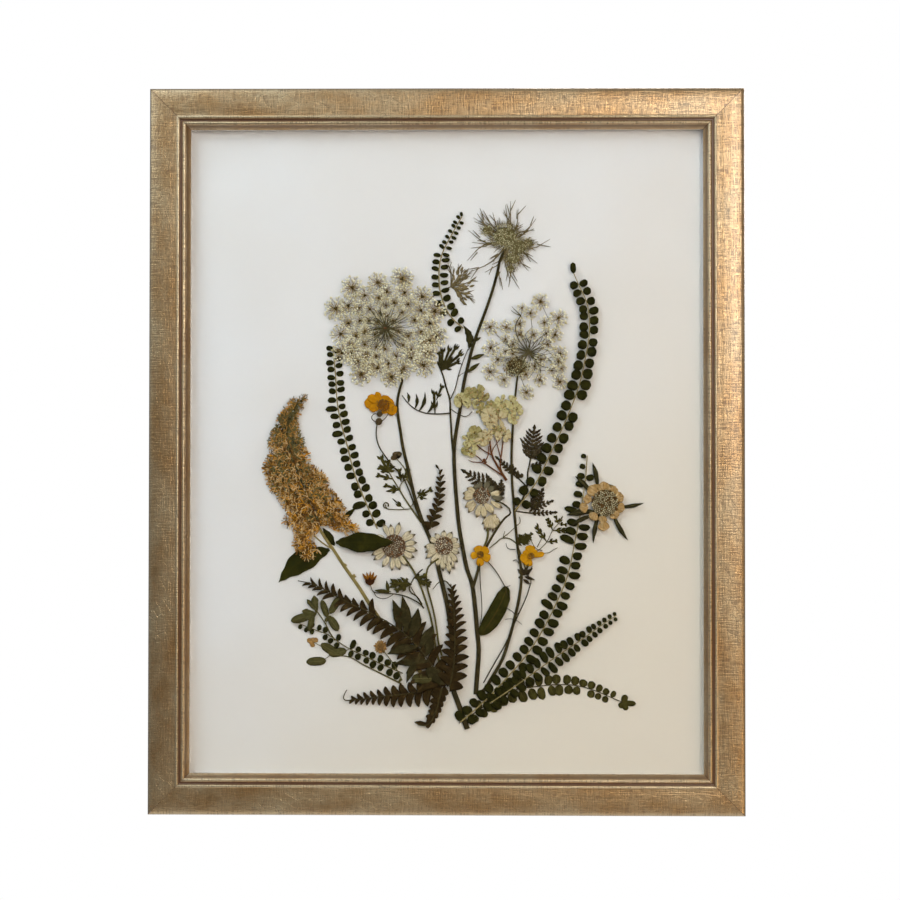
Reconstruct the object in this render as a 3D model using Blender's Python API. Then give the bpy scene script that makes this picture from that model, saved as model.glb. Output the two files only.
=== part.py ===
"""Pressed flower frame: a gold-leaf picture frame with dried plants fixed on a card behind glass.

The frame hangs upright in the XZ plane with its face toward -Y. The origin is the centre of the
sawtooth hanger's back plate, in the plane of the wall. Plants are laid out in card coordinates,
millimetres from the middle of the card, with x to the right and z up.
"""

import math

import bmesh
import bpy
from mathutils import Vector
from mathutils.geometry import delaunay_2d_cdt

MM = 0.001

# Frame, millimetres
SIGHT_WIDTH = 400.0
SIGHT_HEIGHT = 502.0
RAIL_WIDTH = 32.0
RAIL_DEPTH = 20.0
LIP_WIDTH = 4.0
LIP_DEPTH = 6.6
WALL_GAP = 2.6
TOUCH_GAP = 0.3
SHEET_CLEARANCE = 0.8

# Stack behind the lip, millimetres
GLASS_THICKNESS = 2.0
PLANT_ROOM = 5.2
CARD_THICKNESS = 1.5
BACKING_THICKNESS = 3.0
SPACER_WIDTH = 2.6

# Plants lie in thin layers on the card, millimetres
LAYER_PITCH = 0.8
SHEET_THICKNESS = 0.5

# A corner that stands off the line between its neighbours by less than this is left out, millimetres
OUTLINE_SLACK = 0.55
SMOOTHING_ROUNDS = 3
FLAT_ANGLE = math.radians(0.5)

# A pinna with a smaller half width than this ends in one corner, millimetres
SMALL_PINNA = 2.6

# Along a rachis, millimetres: how far a rounded pinna's foot is past its middle, the step between
# the feet when the first one has none before it, and the bare end past the last one
ROUND_LAG = 0.8
FIRST_STEP = 4.0
BARE_END = 2.0
END_STOPS = (0.33, 0.67, 1.0)

# A blunt pinna's end corners as shares of its half length and half width
BLUNT_REACH = 0.8
BLUNT_WIDTH = 0.85

# Hardware on the back, millimetres
HANGER_LENGTH = 64.0
HANGER_HEIGHT = 9.0
HANGER_METAL = 0.8
HANGER_STEP = 1.5
HANGER_FLAT = 17.0
TAB_START = 20.0
TOOTH_COUNT = 6
TOOTH_DEPTH = 1.8
NAIL_RADIUS = 2.0
NAIL_OFFSET = 26.0
NAIL_HEAD = 0.35
BUMPER_RADIUS = 5.0
BUMPER_EASE = 0.8
BUMPER_INSET = 14.0
POINT_WIDTH = 12.0
POINT_REACH = 9.0
POINT_BITE = 3.5
POINT_METAL = 0.6
POINT_TIP_SHARE = 0.3
ROUND_SIDES = 12
NAIL_SIDES = 8

OUTER_WIDTH = SIGHT_WIDTH + 2 * RAIL_WIDTH
OUTER_HEIGHT = SIGHT_HEIGHT + 2 * RAIL_WIDTH
RABBET_WIDTH = SIGHT_WIDTH + 2 * LIP_WIDTH
RABBET_HEIGHT = SIGHT_HEIGHT + 2 * LIP_WIDTH
SHEET_WIDTH = RABBET_WIDTH - 2 * SHEET_CLEARANCE
SHEET_HEIGHT = RABBET_HEIGHT - 2 * SHEET_CLEARANCE
CARD_CENTRE_Z = -(SIGHT_HEIGHT + RAIL_WIDTH) / 2
FRONT_Y = -(WALL_GAP + RAIL_DEPTH)
GLASS_FRONT = LIP_DEPTH + TOUCH_GAP
SPACER_FRONT = GLASS_FRONT + GLASS_THICKNESS + TOUCH_GAP
SPACER_THICKNESS = PLANT_ROOM - 2 * TOUCH_GAP
CARD_FRONT = GLASS_FRONT + GLASS_THICKNESS + PLANT_ROOM
BACKING_FRONT = CARD_FRONT + CARD_THICKNESS + TOUCH_GAP
POINT_FRONT = BACKING_FRONT + BACKING_THICKNESS + TOUCH_GAP

# The moulding's section: (distance in from the outer edge, depth behind the front), millimetres
RAIL_SECTION = [
    (0.0, RAIL_DEPTH), (0.0, 3.2), (0.9, 1.2), (2.8, 0.4), (11.0, 0.0), (21.4, 0.5),
    (22.3, 0.1), (23.4, 0.3), (24.1, 2.0), (25.4, 2.1), (26.0, 1.2), (27.2, 0.8),
    (28.3, 1.3), (29.1, 2.6), (30.6, 4.3), (RAIL_WIDTH, 5.4), (RAIL_WIDTH, LIP_DEPTH),
    (RAIL_WIDTH - LIP_WIDTH, LIP_DEPTH), (RAIL_WIDTH - LIP_WIDTH, RAIL_DEPTH),
]


def remove_old_objects():
    for old in list(bpy.data.objects):
        bpy.data.objects.remove(old, do_unlink=True)


def make_material(name, colour, roughness, metallic=0.0, transmission=0.0):
    material = bpy.data.materials.new(name)
    material.use_nodes = True
    shader = material.node_tree.nodes["Principled BSDF"]
    shader.inputs["Base Color"].default_value = (*colour, 1.0)
    shader.inputs["Roughness"].default_value = roughness
    shader.inputs["Metallic"].default_value = metallic
    shader.inputs["Transmission Weight"].default_value = transmission
    return material


def add_object(name, mesh_data, material):
    mesh = bpy.data.meshes.new(name)
    bmesh.ops.recalc_face_normals(mesh_data, faces=mesh_data.faces)
    mesh_data.to_mesh(mesh)
    mesh_data.free()
    mesh.materials.append(material)
    new_object = bpy.data.objects.new(name, mesh)
    bpy.context.scene.collection.objects.link(new_object)
    return new_object


def depth_to_y(depth):
    """World Y in millimetres of a depth behind the frame's front."""
    return FRONT_Y + depth


def loft(rings):
    """Closed solid through equal rings of points, with a cap at each end."""
    mesh_data = bmesh.new()
    loops = [[mesh_data.verts.new(Vector(p) * MM) for p in ring] for ring in rings]
    count = len(rings[0])
    for first, second in zip(loops, loops[1:]):
        for i in range(count):
            j = (i + 1) % count
            mesh_data.faces.new((first[i], first[j], second[j], second[i]))
    mesh_data.faces.new(list(reversed(loops[0])))
    mesh_data.faces.new(loops[-1])
    return mesh_data


def box(centre, size):
    mesh_data = bmesh.new()
    bmesh.ops.create_cube(mesh_data, size=1.0)
    bmesh.ops.scale(mesh_data, vec=Vector(size) * MM, verts=mesh_data.verts)
    bmesh.ops.translate(mesh_data, vec=Vector(centre) * MM, verts=mesh_data.verts)
    return mesh_data


def circle(x, z, radius, sides):
    turn = 2 * math.pi / sides
    return [(x + radius * math.cos((i + 0.5) * turn), z + radius * math.sin((i + 0.5) * turn))
            for i in range(sides)]


def disc_solid(centre, radius, y_front, y_back, sides):
    """Short cylinder along Y between two Y values."""
    outline = circle(centre[0], centre[1], radius, sides)
    return loft([[(x, y, z) for x, z in outline] for y in (y_front, y_back)])


# Frame


def rail_ring(end_sign, half_length, side_vector, along_vector):
    """The section placed on a 45 degree mitre at one end of a rail."""
    ring = []
    for inward, depth in RAIL_SECTION:
        along = end_sign * (half_length - inward - TOUCH_GAP / 2)
        across = (OUTER_HEIGHT if side_vector[1] else OUTER_WIDTH) / 2 - inward
        x = side_vector[0] * across + along_vector[0] * along
        z = side_vector[1] * across + along_vector[1] * along
        ring.append((x, depth_to_y(depth), z + CARD_CENTRE_Z))
    return ring


def make_rails(material):
    """Four mitred rails, with a slot in each rebate wall for the backing's steel point."""
    sides = {
        "rail_top": ((0, 1), (1, 0), OUTER_WIDTH / 2),
        "rail_bottom": ((0, -1), (1, 0), OUTER_WIDTH / 2),
        "rail_left": ((-1, 0), (0, 1), OUTER_HEIGHT / 2),
        "rail_right": ((1, 0), (0, 1), OUTER_HEIGHT / 2),
    }
    for name, (side, along, half_length) in sides.items():
        rings = [rail_ring(end, half_length, side, along) for end in (-1, 1)]
        rail = add_object(name, loft(rings), material)
        slot = add_object(name + "_slot", point_box(side, 2 * TOUCH_GAP, TOUCH_GAP), material)
        slot.hide_render = True
        slot.display_type = "WIRE"
        cut = rail.modifiers.new("point_slot", "BOOLEAN")
        cut.operation = "DIFFERENCE"
        cut.solver = "EXACT"
        cut.object = slot


def point_box(side, extra_width, extra):
    """Box of one steel point on the middle of a side, grown for its slot by the extras."""
    rabbet_half = (RABBET_HEIGHT if side[1] else RABBET_WIDTH) / 2
    far_edge = rabbet_half + POINT_BITE + extra
    near_edge = rabbet_half - POINT_REACH
    across = (near_edge + far_edge) / 2
    span = far_edge - near_edge
    width = POINT_WIDTH + extra_width
    depth = POINT_FRONT + POINT_METAL / 2
    centre = (side[0] * across, depth_to_y(depth), side[1] * across + CARD_CENTRE_Z)
    size = (span if side[0] else width, POINT_METAL + 2 * extra, span if side[1] else width)
    return box(centre, size)


def make_points(material):
    for place, side in {"top": (0, 1), "bottom": (0, -1), "left": (-1, 0), "right": (1, 0)}.items():
        point = point_box(side, 0.0, 0.0)
        inner = [v for v in point.verts
                 if abs(v.co.x * side[0] + (v.co.z - CARD_CENTRE_Z * MM) * side[1])
                 < ((RABBET_HEIGHT if side[1] else RABBET_WIDTH) / 2 - POINT_REACH / 2) * MM]
        middle = sum((v.co for v in inner), Vector()) / len(inner)
        for vert in inner:
            vert.co.x = middle.x + (vert.co.x - middle.x) * (1.0 if side[0] else POINT_TIP_SHARE)
            vert.co.z = middle.z + (vert.co.z - middle.z) * (1.0 if side[1] else POINT_TIP_SHARE)
        add_object("point_" + place, point, material)


def make_sheet(name, width, height, front, thickness, material):
    centre = (0.0, depth_to_y(front + thickness / 2), CARD_CENTRE_Z)
    return add_object(name, box(centre, (width, thickness, height)), material)


def make_spacer(material):
    """Square ring hidden under the lip, between the glass and the card."""
    rings = []
    corners = [(-1, -1), (1, -1), (1, 1), (-1, 1)]
    for inset, depth in ((0.0, SPACER_FRONT), (0.0, SPACER_FRONT + SPACER_THICKNESS),
                         (SPACER_WIDTH, SPACER_FRONT + SPACER_THICKNESS), (SPACER_WIDTH, SPACER_FRONT)):
        rings.append([(sx * (SHEET_WIDTH / 2 - inset), depth_to_y(depth),
                       sz * (SHEET_HEIGHT / 2 - inset) + CARD_CENTRE_Z) for sx, sz in corners])
    mesh_data = bmesh.new()
    loops = [[mesh_data.verts.new(Vector(p) * MM) for p in ring] for ring in rings]
    for k in range(4):
        for i in range(4):
            j = (i + 1) % 4
            nxt = loops[(k + 1) % 4]
            mesh_data.faces.new((loops[k][i], loops[k][j], nxt[j], nxt[i]))
    return add_object("spacer", mesh_data, material)


def make_hanger(steel):
    """Bent strip with a row of teeth along its lower edge; its middle touches the wall plane."""
    half = HANGER_HEIGHT / 2
    raised = -HANGER_METAL
    low = raised - HANGER_STEP
    stations = [(-HANGER_LENGTH / 2, low, 0.0), (-TAB_START, low, 0.0), (-HANGER_FLAT, raised, 0.0)]
    tooth = 2 * HANGER_FLAT / TOOTH_COUNT
    for i in range(TOOTH_COUNT):
        start = -HANGER_FLAT + i * tooth
        stations.append((start + tooth / 2, raised, TOOTH_DEPTH))
        stations.append((start + tooth, raised, 0.0))
    stations += [(TAB_START, low, 0.0), (HANGER_LENGTH / 2, low, 0.0)]
    rings = []
    for x, y, notch in stations:
        rings.append([(x, y, -half + notch), (x, y + HANGER_METAL, -half + notch),
                      (x, y + HANGER_METAL, half), (x, y, half)])
    add_object("sawtooth_hanger", loft(rings), steel)


def make_nails(steel):
    """Each nail's head lies on a hanger tab; its shank ends at the tab, where the wood begins."""
    tab_back = -HANGER_STEP
    for name, sign in (("hanger_nail_left", -1), ("hanger_nail_right", 1)):
        centre = (sign * NAIL_OFFSET, 0.0)
        front = tab_back + TOUCH_GAP
        nail = disc_solid(centre, NAIL_RADIUS, front, front + NAIL_HEAD, NAIL_SIDES)
        add_object(name, nail, steel)


def make_bumpers(felt):
    drop = CARD_CENTRE_Z - OUTER_HEIGHT / 2 + BUMPER_INSET
    for name, sign in (("bumper_left", -1), ("bumper_right", 1)):
        centre = (sign * (OUTER_WIDTH / 2 - BUMPER_INSET), drop)
        rings = []
        profile = ((BUMPER_RADIUS, -WALL_GAP + TOUCH_GAP), (BUMPER_RADIUS, -BUMPER_EASE),
                   (BUMPER_RADIUS - BUMPER_EASE, 0.0))
        for radius, y in profile:
            rings.append([(x, y, z) for x, z in circle(centre[0], centre[1], radius, ROUND_SIDES)])
        add_object(name, loft(rings), felt).data.shade_smooth()


# Plant outlines, all in card millimetres


def unit(dx, dz):
    length = math.hypot(dx, dz) or 1.0
    return dx / length, dz / length


def strip(points, start_width, end_width=None):
    """Outline of a stem that follows the points and tapers between two widths."""
    end_width = start_width if end_width is None else end_width
    left, right = [], []
    last = len(points) - 1
    for i, (x, z) in enumerate(points):
        before = points[max(i - 1, 0)]
        after = points[min(i + 1, last)]
        dx, dz = unit(after[0] - before[0], after[1] - before[1])
        half = (start_width + (end_width - start_width) * i / last) / 2
        left.append((x - dz * half, z + dx * half))
        right.append((x + dz * half, z - dx * half))
    return right + left[::-1]


def blade(base, tip, half_width, shape=((0.5, 1.0),), point=0.0):
    """Leaf outline from base to tip. The shape lists (distance, share of half width) pairs."""
    length = math.hypot(tip[0] - base[0], tip[1] - base[1])
    dx, dz = unit(tip[0] - base[0], tip[1] - base[1])
    right, left = [], []
    for along, share in shape:
        x = base[0] + dx * length * along
        z = base[1] + dz * length * along
        right.append((x + dz * half_width * share, z - dx * half_width * share))
        left.append((x - dz * half_width * share, z + dx * half_width * share))
    ends = [tip] if point == 0.0 else [(tip[0] + dz * point, tip[1] - dx * point),
                                       (tip[0] - dz * point, tip[1] + dx * point)]
    return [base] + right + ends + left[::-1]


def spine_lengths(spine):
    return [math.hypot(b[0] - a[0], b[1] - a[1]) for a, b in zip(spine, spine[1:])]


def place_on(spine, travel):
    """Point and direction at a distance along a spine."""
    lengths = spine_lengths(spine)
    travel = min(max(travel, 0.0), sum(lengths))
    for start, end, length in zip(spine, spine[1:], lengths):
        if travel <= length or end is spine[-1]:
            share = travel / length
            point = (start[0] + share * (end[0] - start[0]), start[1] + share * (end[1] - start[1]))
            return point, unit(end[0] - start[0], end[1] - start[1])
        travel -= length
    return spine[-1], (0.0, -1.0)


def nearest_travel(spine, point):
    """Distance along a spine of its nearest place to a point."""
    best_distance, best_travel, travel = 1e9, 0.0, 0.0
    for (ax, az), (bx, bz), length in zip(spine, spine[1:], spine_lengths(spine)):
        share = ((point[0] - ax) * (bx - ax) + (point[1] - az) * (bz - az)) / (length * length)
        share = min(max(share, 0.0), 1.0)
        distance = math.hypot(point[0] - ax - share * (bx - ax), point[1] - az - share * (bz - az))
        if distance < best_distance:
            best_distance, best_travel = distance, travel + share * length
        travel += length
    return best_travel


def frond(spine, leaflets, stem_width, lag, corners):
    """One outline down the left side of a spine and up its right, out and back at each leaflet."""
    sides = {1: [], -1: []}
    for leaflet in leaflets:
        travel = nearest_travel(spine, leaflet[:2]) + lag
        base, (dx, dz) = place_on(spine, travel)
        side = 1 if dx * (leaflet[1] - base[1]) - dz * (leaflet[0] - base[0]) > 0 else -1
        sides[side].append((travel, base, leaflet))
    total = sum(spine_lengths(spine))
    outline = []
    for side in (1, -1):
        ordered = sorted(sides[side], key=lambda item: item[0])
        path = []
        for i, (travel, base, leaflet) in enumerate(ordered):
            before = ordered[i - 1][0] if i else max(travel - FIRST_STEP, 0.0)
            notch, (dx, dz) = place_on(spine, (travel + before) / 2)
            half = side * stem_width / 2
            path.append((notch[0] - dz * half, notch[1] + dx * half))
            path += corners(base, leaflet, side)
        if ordered:
            bare = min(ordered[-1][0] + BARE_END, total)
            stops = [bare + (total - bare) * share for share in END_STOPS]
            for stop in [bare] + [stop for stop in stops if stop > bare + 1.0]:
                point, (dx, dz) = place_on(spine, stop)
                half = side * stem_width / 2
                path.append((point[0] - dz * half, point[1] + dx * half))
        outline += path if side == 1 else path[::-1]
    return [outline]


def round_corners(base, leaflet, side):
    """The blunt outer end of a rounded pinna given as (x, z, half length, half width)."""
    x, z, half_length, half_width = leaflet
    dx, dz = unit(x - base[0], z - base[1])
    if half_width < SMALL_PINNA:
        return [(x + dx * half_length, z + dz * half_length)]
    far = (x + dx * half_length * BLUNT_REACH, z + dz * half_length * BLUNT_REACH)
    wide = half_width * BLUNT_WIDTH * side
    return [(far[0] - dz * wide, far[1] + dx * wide), (far[0] + dz * wide, far[1] - dx * wide)]


def sharp_corner(base, leaflet, side):
    return [leaflet]


def button_frond(spine, pinnae, stem_width=1.2):
    """Rachis with rounded pinnae, each given as (x, z, half length, half width)."""
    return frond(spine, pinnae, stem_width, ROUND_LAG, round_corners)


def pointed_frond(spine, tips, stem_width=1.4, lag=3.0):
    """Rachis with pointed leaflets, each given by its tip."""
    return frond(spine, tips, stem_width, lag, sharp_corner)


def twigs(paths, width):
    return [strip(path, width) for path in paths]


def star(centre, tips, notch_radius, blunt=0.0):
    """Outline of bracts round a centre, with notches between them and tips cut blunt if asked."""
    cx, cz = centre
    angles = sorted((math.atan2(z - cz, x - cx), math.hypot(x - cx, z - cz)) for x, z in tips)
    outline = []
    for i, (angle, reach) in enumerate(angles):
        following = angles[(i + 1) % len(angles)][0]
        middle = (angle + following + (2 * math.pi if following < angle else 0.0)) / 2
        dx, dz = math.cos(angle), math.sin(angle)
        for side in ((1, -1) if blunt else (0,)):
            outline.append((cx + dx * reach + dz * blunt * side, cz + dz * reach - dx * blunt * side))
        outline.append((cx + notch_radius * math.cos(middle), cz + notch_radius * math.sin(middle)))
    return outline


def rays(centre, heads, width):
    return [strip([centre, (x, z)], width) for x, z, _ in heads]


def plant(name, layer, colour, outlines, raised=(), steps=1):
    """One pressed piece: the union of its outlines as a thin sheet in a layer above the card.

    Outlines listed as raised stand up by the given number of layers.
    """
    points, loops = [], []
    for loop in list(outlines) + list(raised):
        area = sum(a[0] * b[1] - b[0] * a[1] for a, b in zip(loop, loop[1:] + loop[:1]))
        ordered = loop if area > 0 else loop[::-1]
        loops.append(list(range(len(points), len(points) + len(ordered))))
        points += [Vector(p) for p in ordered]
    flat = delaunay_2d_cdt(points, [], loops, 1, 1e-3)
    first_raised = len(outlines)
    mesh_data = bmesh.new()
    back = -(depth_to_layer(layer))
    verts = [mesh_data.verts.new((p.x * MM, back * MM, (p.y + CARD_CENTRE_Z) * MM)) for p in flat[0]]
    for corners, sources in zip(flat[2], flat[5]):
        face = mesh_data.faces.new([verts[i] for i in corners])
        face.material_index = 1 if any(s >= first_raised for s in sources) else 0
    loose = [v for v in mesh_data.verts if not v.link_faces]
    bmesh.ops.delete(mesh_data, geom=loose, context="VERTS")
    bmesh.ops.dissolve_limit(mesh_data, angle_limit=FLAT_ANGLE, verts=mesh_data.verts,
                             edges=mesh_data.edges, delimit={"MATERIAL"})
    drop_slack_corners(mesh_data)
    raise_faces(mesh_data, list(mesh_data.faces), SHEET_THICKNESS, keep=True)
    if raised:
        front = back - SHEET_THICKNESS
        tall = [f for f in mesh_data.faces if f.material_index == 1
                and abs(f.calc_center_median().y - front * MM) < 1e-5
                and abs(f.normal.y) > 0.5]
        raise_faces(mesh_data, tall, (steps - 1) * LAYER_PITCH, keep=False)
    for face in mesh_data.faces:
        face.material_index = 0
    return add_object(name, mesh_data, make_material(name, colour, 0.8))


def drop_slack_corners(mesh_data):
    """Leave out corners that hardly change the outline, never two neighbours in one round."""
    for _ in range(SMOOTHING_ROUNDS):
        kept, dropped = set(), []
        for vert in mesh_data.verts:
            if len(vert.link_edges) != 2 or vert in kept:
                continue
            before, after = [edge.other_vert(vert) for edge in vert.link_edges]
            line = after.co - before.co
            if (vert.co - before.co).cross(line).length / line.length < OUTLINE_SLACK * MM:
                dropped.append(vert)
                kept.update((before, after))
        bmesh.ops.dissolve_verts(mesh_data, verts=dropped)


def depth_to_layer(layer):
    """Distance from the wall to the back of a layer, millimetres."""
    return -depth_to_y(CARD_FRONT) + TOUCH_GAP + layer * LAYER_PITCH


def raise_faces(mesh_data, faces, height, keep):
    for face in faces:
        face.normal_update()
    result = bmesh.ops.extrude_face_region(mesh_data, geom=faces)
    moved = [item for item in result["geom"] if isinstance(item, bmesh.types.BMVert)]
    bmesh.ops.translate(mesh_data, vec=(0.0, -height * MM, 0.0), verts=moved)
    if not keep:
        bmesh.ops.delete(mesh_data, geom=faces, context="FACES_ONLY")
    mesh_data.normal_update()


# Plant colours
DARK_GREEN = (0.035, 0.04, 0.012)
LEAF_GREEN = (0.09, 0.1, 0.03)
PALE_GREEN = (0.17, 0.17, 0.075)
BROWN_BLACK = (0.045, 0.032, 0.02)
STEM_BROWN = (0.075, 0.06, 0.03)
CREAM = (0.55, 0.47, 0.29)
GOLD_BROWN = (0.42, 0.24, 0.06)
ORANGE = (0.62, 0.3, 0.03)
YELLOW = (0.75, 0.45, 0.02)
RED_BROWN = (0.13, 0.05, 0.025)


def make_lace_umbels():
    left_heads = [(-35, 135, 9), (-54, 133, 9), (-72, 128, 9), (-19, 121, 8), (-83, 112, 9), (-9, 110, 8),
                  (-90, 98, 8), (-84, 91, 8), (-8, 98, 8), (-83, 78, 7), (-75, 83, 7), (-68, 64, 8),
                  (-54, 63, 8), (-42, 59, 8), (-31, 66, 7), (-22, 74, 7), (-16, 80, 7)]
    core = circle(-47, 97, 33, 10)
    plant("lace_umbel_left", 2, (0.42, 0.36, 0.22), [circle(*head, 5) for head in left_heads] + [core],
          [circle(-47, 97, 17, 8)], 2)
    right_heads = [(34, 95, 6), (48, 96, 5), (58, 97, 5), (65, 107, 6), (73, 113, 6), (70, 98, 5),
                   (79, 99, 5), (89, 101, 6), (84, 90, 5), (89, 71, 6), (33, 79, 5), (47, 85, 5),
                   (42, 71, 5), (33, 61, 6), (48, 55, 5), (63, 44, 6), (76, 55, 5), (89, 53, 6)]
    hub = (58, 67)
    plant("lace_umbel_right", 2, (0.3, 0.26, 0.15),
          [circle(*head, 5) for head in right_heads] + rays(hub, right_heads, 1.6) + [circle(*hub, 9, 7)],
          [circle(*hub, 6, 6)], 2)


def make_tall_stems():
    plant("lace_umbel_left_stem", 1, STEM_BROWN,
          [strip([(-35.5, 64), (-34.5, 57), (-37, 47), (-38.5, 38), (-38, 28), (-36, 15), (-34, 2),
                  (-30, -14), (-26, -32), (-22, -46), (-18, -57), (-13, -68), (-9, -80), (-6, -93),
                  (-3, -105), (1, -122), (3, -136), (4.5, -150), (5, -168), (5.5, -186), (9, -196),
                  (12.5, -206), (16.5, -217)],
                 2.2, 4.6)])
    plant("lace_umbel_right_stem", 1, STEM_BROWN,
          [strip([(56, 62), (54.5, 50), (53, 33), (51.8, 17), (51, 0), (51, -18), (52.5, -40), (54, -58),
                  (56, -78), (58.5, -95), (58, -107), (54, -128), (48, -150), (44, -162), (35, -178),
                  (30, -186)], 2.0, 3.0), circle(60, -94, 3.2, 7)]
          + twigs([[(46, -131.5), (52.5, -131.5), (59, -135)], [(46, -122), (51, -125), (54, -128)]], 1.0))


def make_lace_bud():
    bract_tips = [(21, 183), (27, 187), (36, 187), (44, 187), (50, 195), (56, 190), (70, 182), (69, 173),
                  (81, 166), (69.5, 157), (71, 147), (64, 141), (57, 127), (50, 133), (42, 129), (30, 140),
                  (17.5, 140), (16, 149), (20, 163.5), (17, 173)]
    centre = (48, 163)
    stem = [(47, 160), (42, 150), (40, 141), (36, 126), (32, 114), (28, 103), (25, 95), (20, 80), (17, 68),
            (13, 50), (11, 35), (8, 18), (6, 2), (6.5, -20), (8, -40), (10, -60), (13, -77), (16, -92),
            (20, -104), (22, -118), (24, -140), (25.3, -155), (24, -176), (23, -190)]
    leaves = [blade((20.5, 86), (27, 89), 1.2), blade((18.5, 72), (30, 76), 1.6),
              blade((16.5, 62), (26, 69), 1.6)]
    plant("lace_bud", 1, (0.25, 0.2, 0.1),
          [star(centre, bract_tips, 14.5), strip(stem, 2.5, 3.8)] + leaves,
          [circle(centre[0], centre[1] + 1, 11, 10)], 3)
    small_tips = [(1, 147.5), (5, 145), (9, 147), (13, 144), (17.5, 144), (23, 135.5), (20, 125),
                  (22.5, 118), (14, 116.5)]
    base = (3.5, 129)
    plant("lace_bud_small", 0, (0.3, 0.25, 0.13),
          [blade(base, tip, 2.6, ((0.75, 1.0),)) for tip in small_tips]
          + [strip([(5, 130), base, (-5, 125), (-12, 120), (-17, 115)], 1.4)])


def make_leafy_twig_left():
    stem = [(-7, 69), (-3, 60), (0, 50), (2.5, 40), (2.5, 30), (3, 20), (4, 10), (5, -2)]
    branch = [(2.7, 29.5), (-8, 29), (-20, 30.5), (-28, 36), (-35, 43)]
    plant("leafy_twig_left", 0, DARK_GREEN,
          [strip(stem, 1.8, 2.2), strip(branch, 1.4, 1.0),
           strip([(17, 80), (12, 68), (9, 58), (7, 50), (3, 41)], 1.0),
           strip([(2.6, 33), (10, 29), (15, 27), (20, 31)], 1.0),
           blade((16, 79), (15, 98), 4.2), blade((16.5, 79.5), (20.5, 94), 3.2),
           blade((-9, 29), (-10, 48), 2.4), blade((-8, 40), (-3, 52), 2.2),
           blade((-22, 31), (-17, 46.5), 2.2), blade((-25, 33), (-24, 45), 2.0),
           blade((-15, 30), (-10, 41), 2.0), blade((-30, 38), (-31, 46), 1.8)]
          + [blade((-4, 63), tip, 2.6) for tip in [(-6, 79), (-3, 81), (3, 82), (9, 84), (13, 78),
                                                   (11, 71)]])


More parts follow.
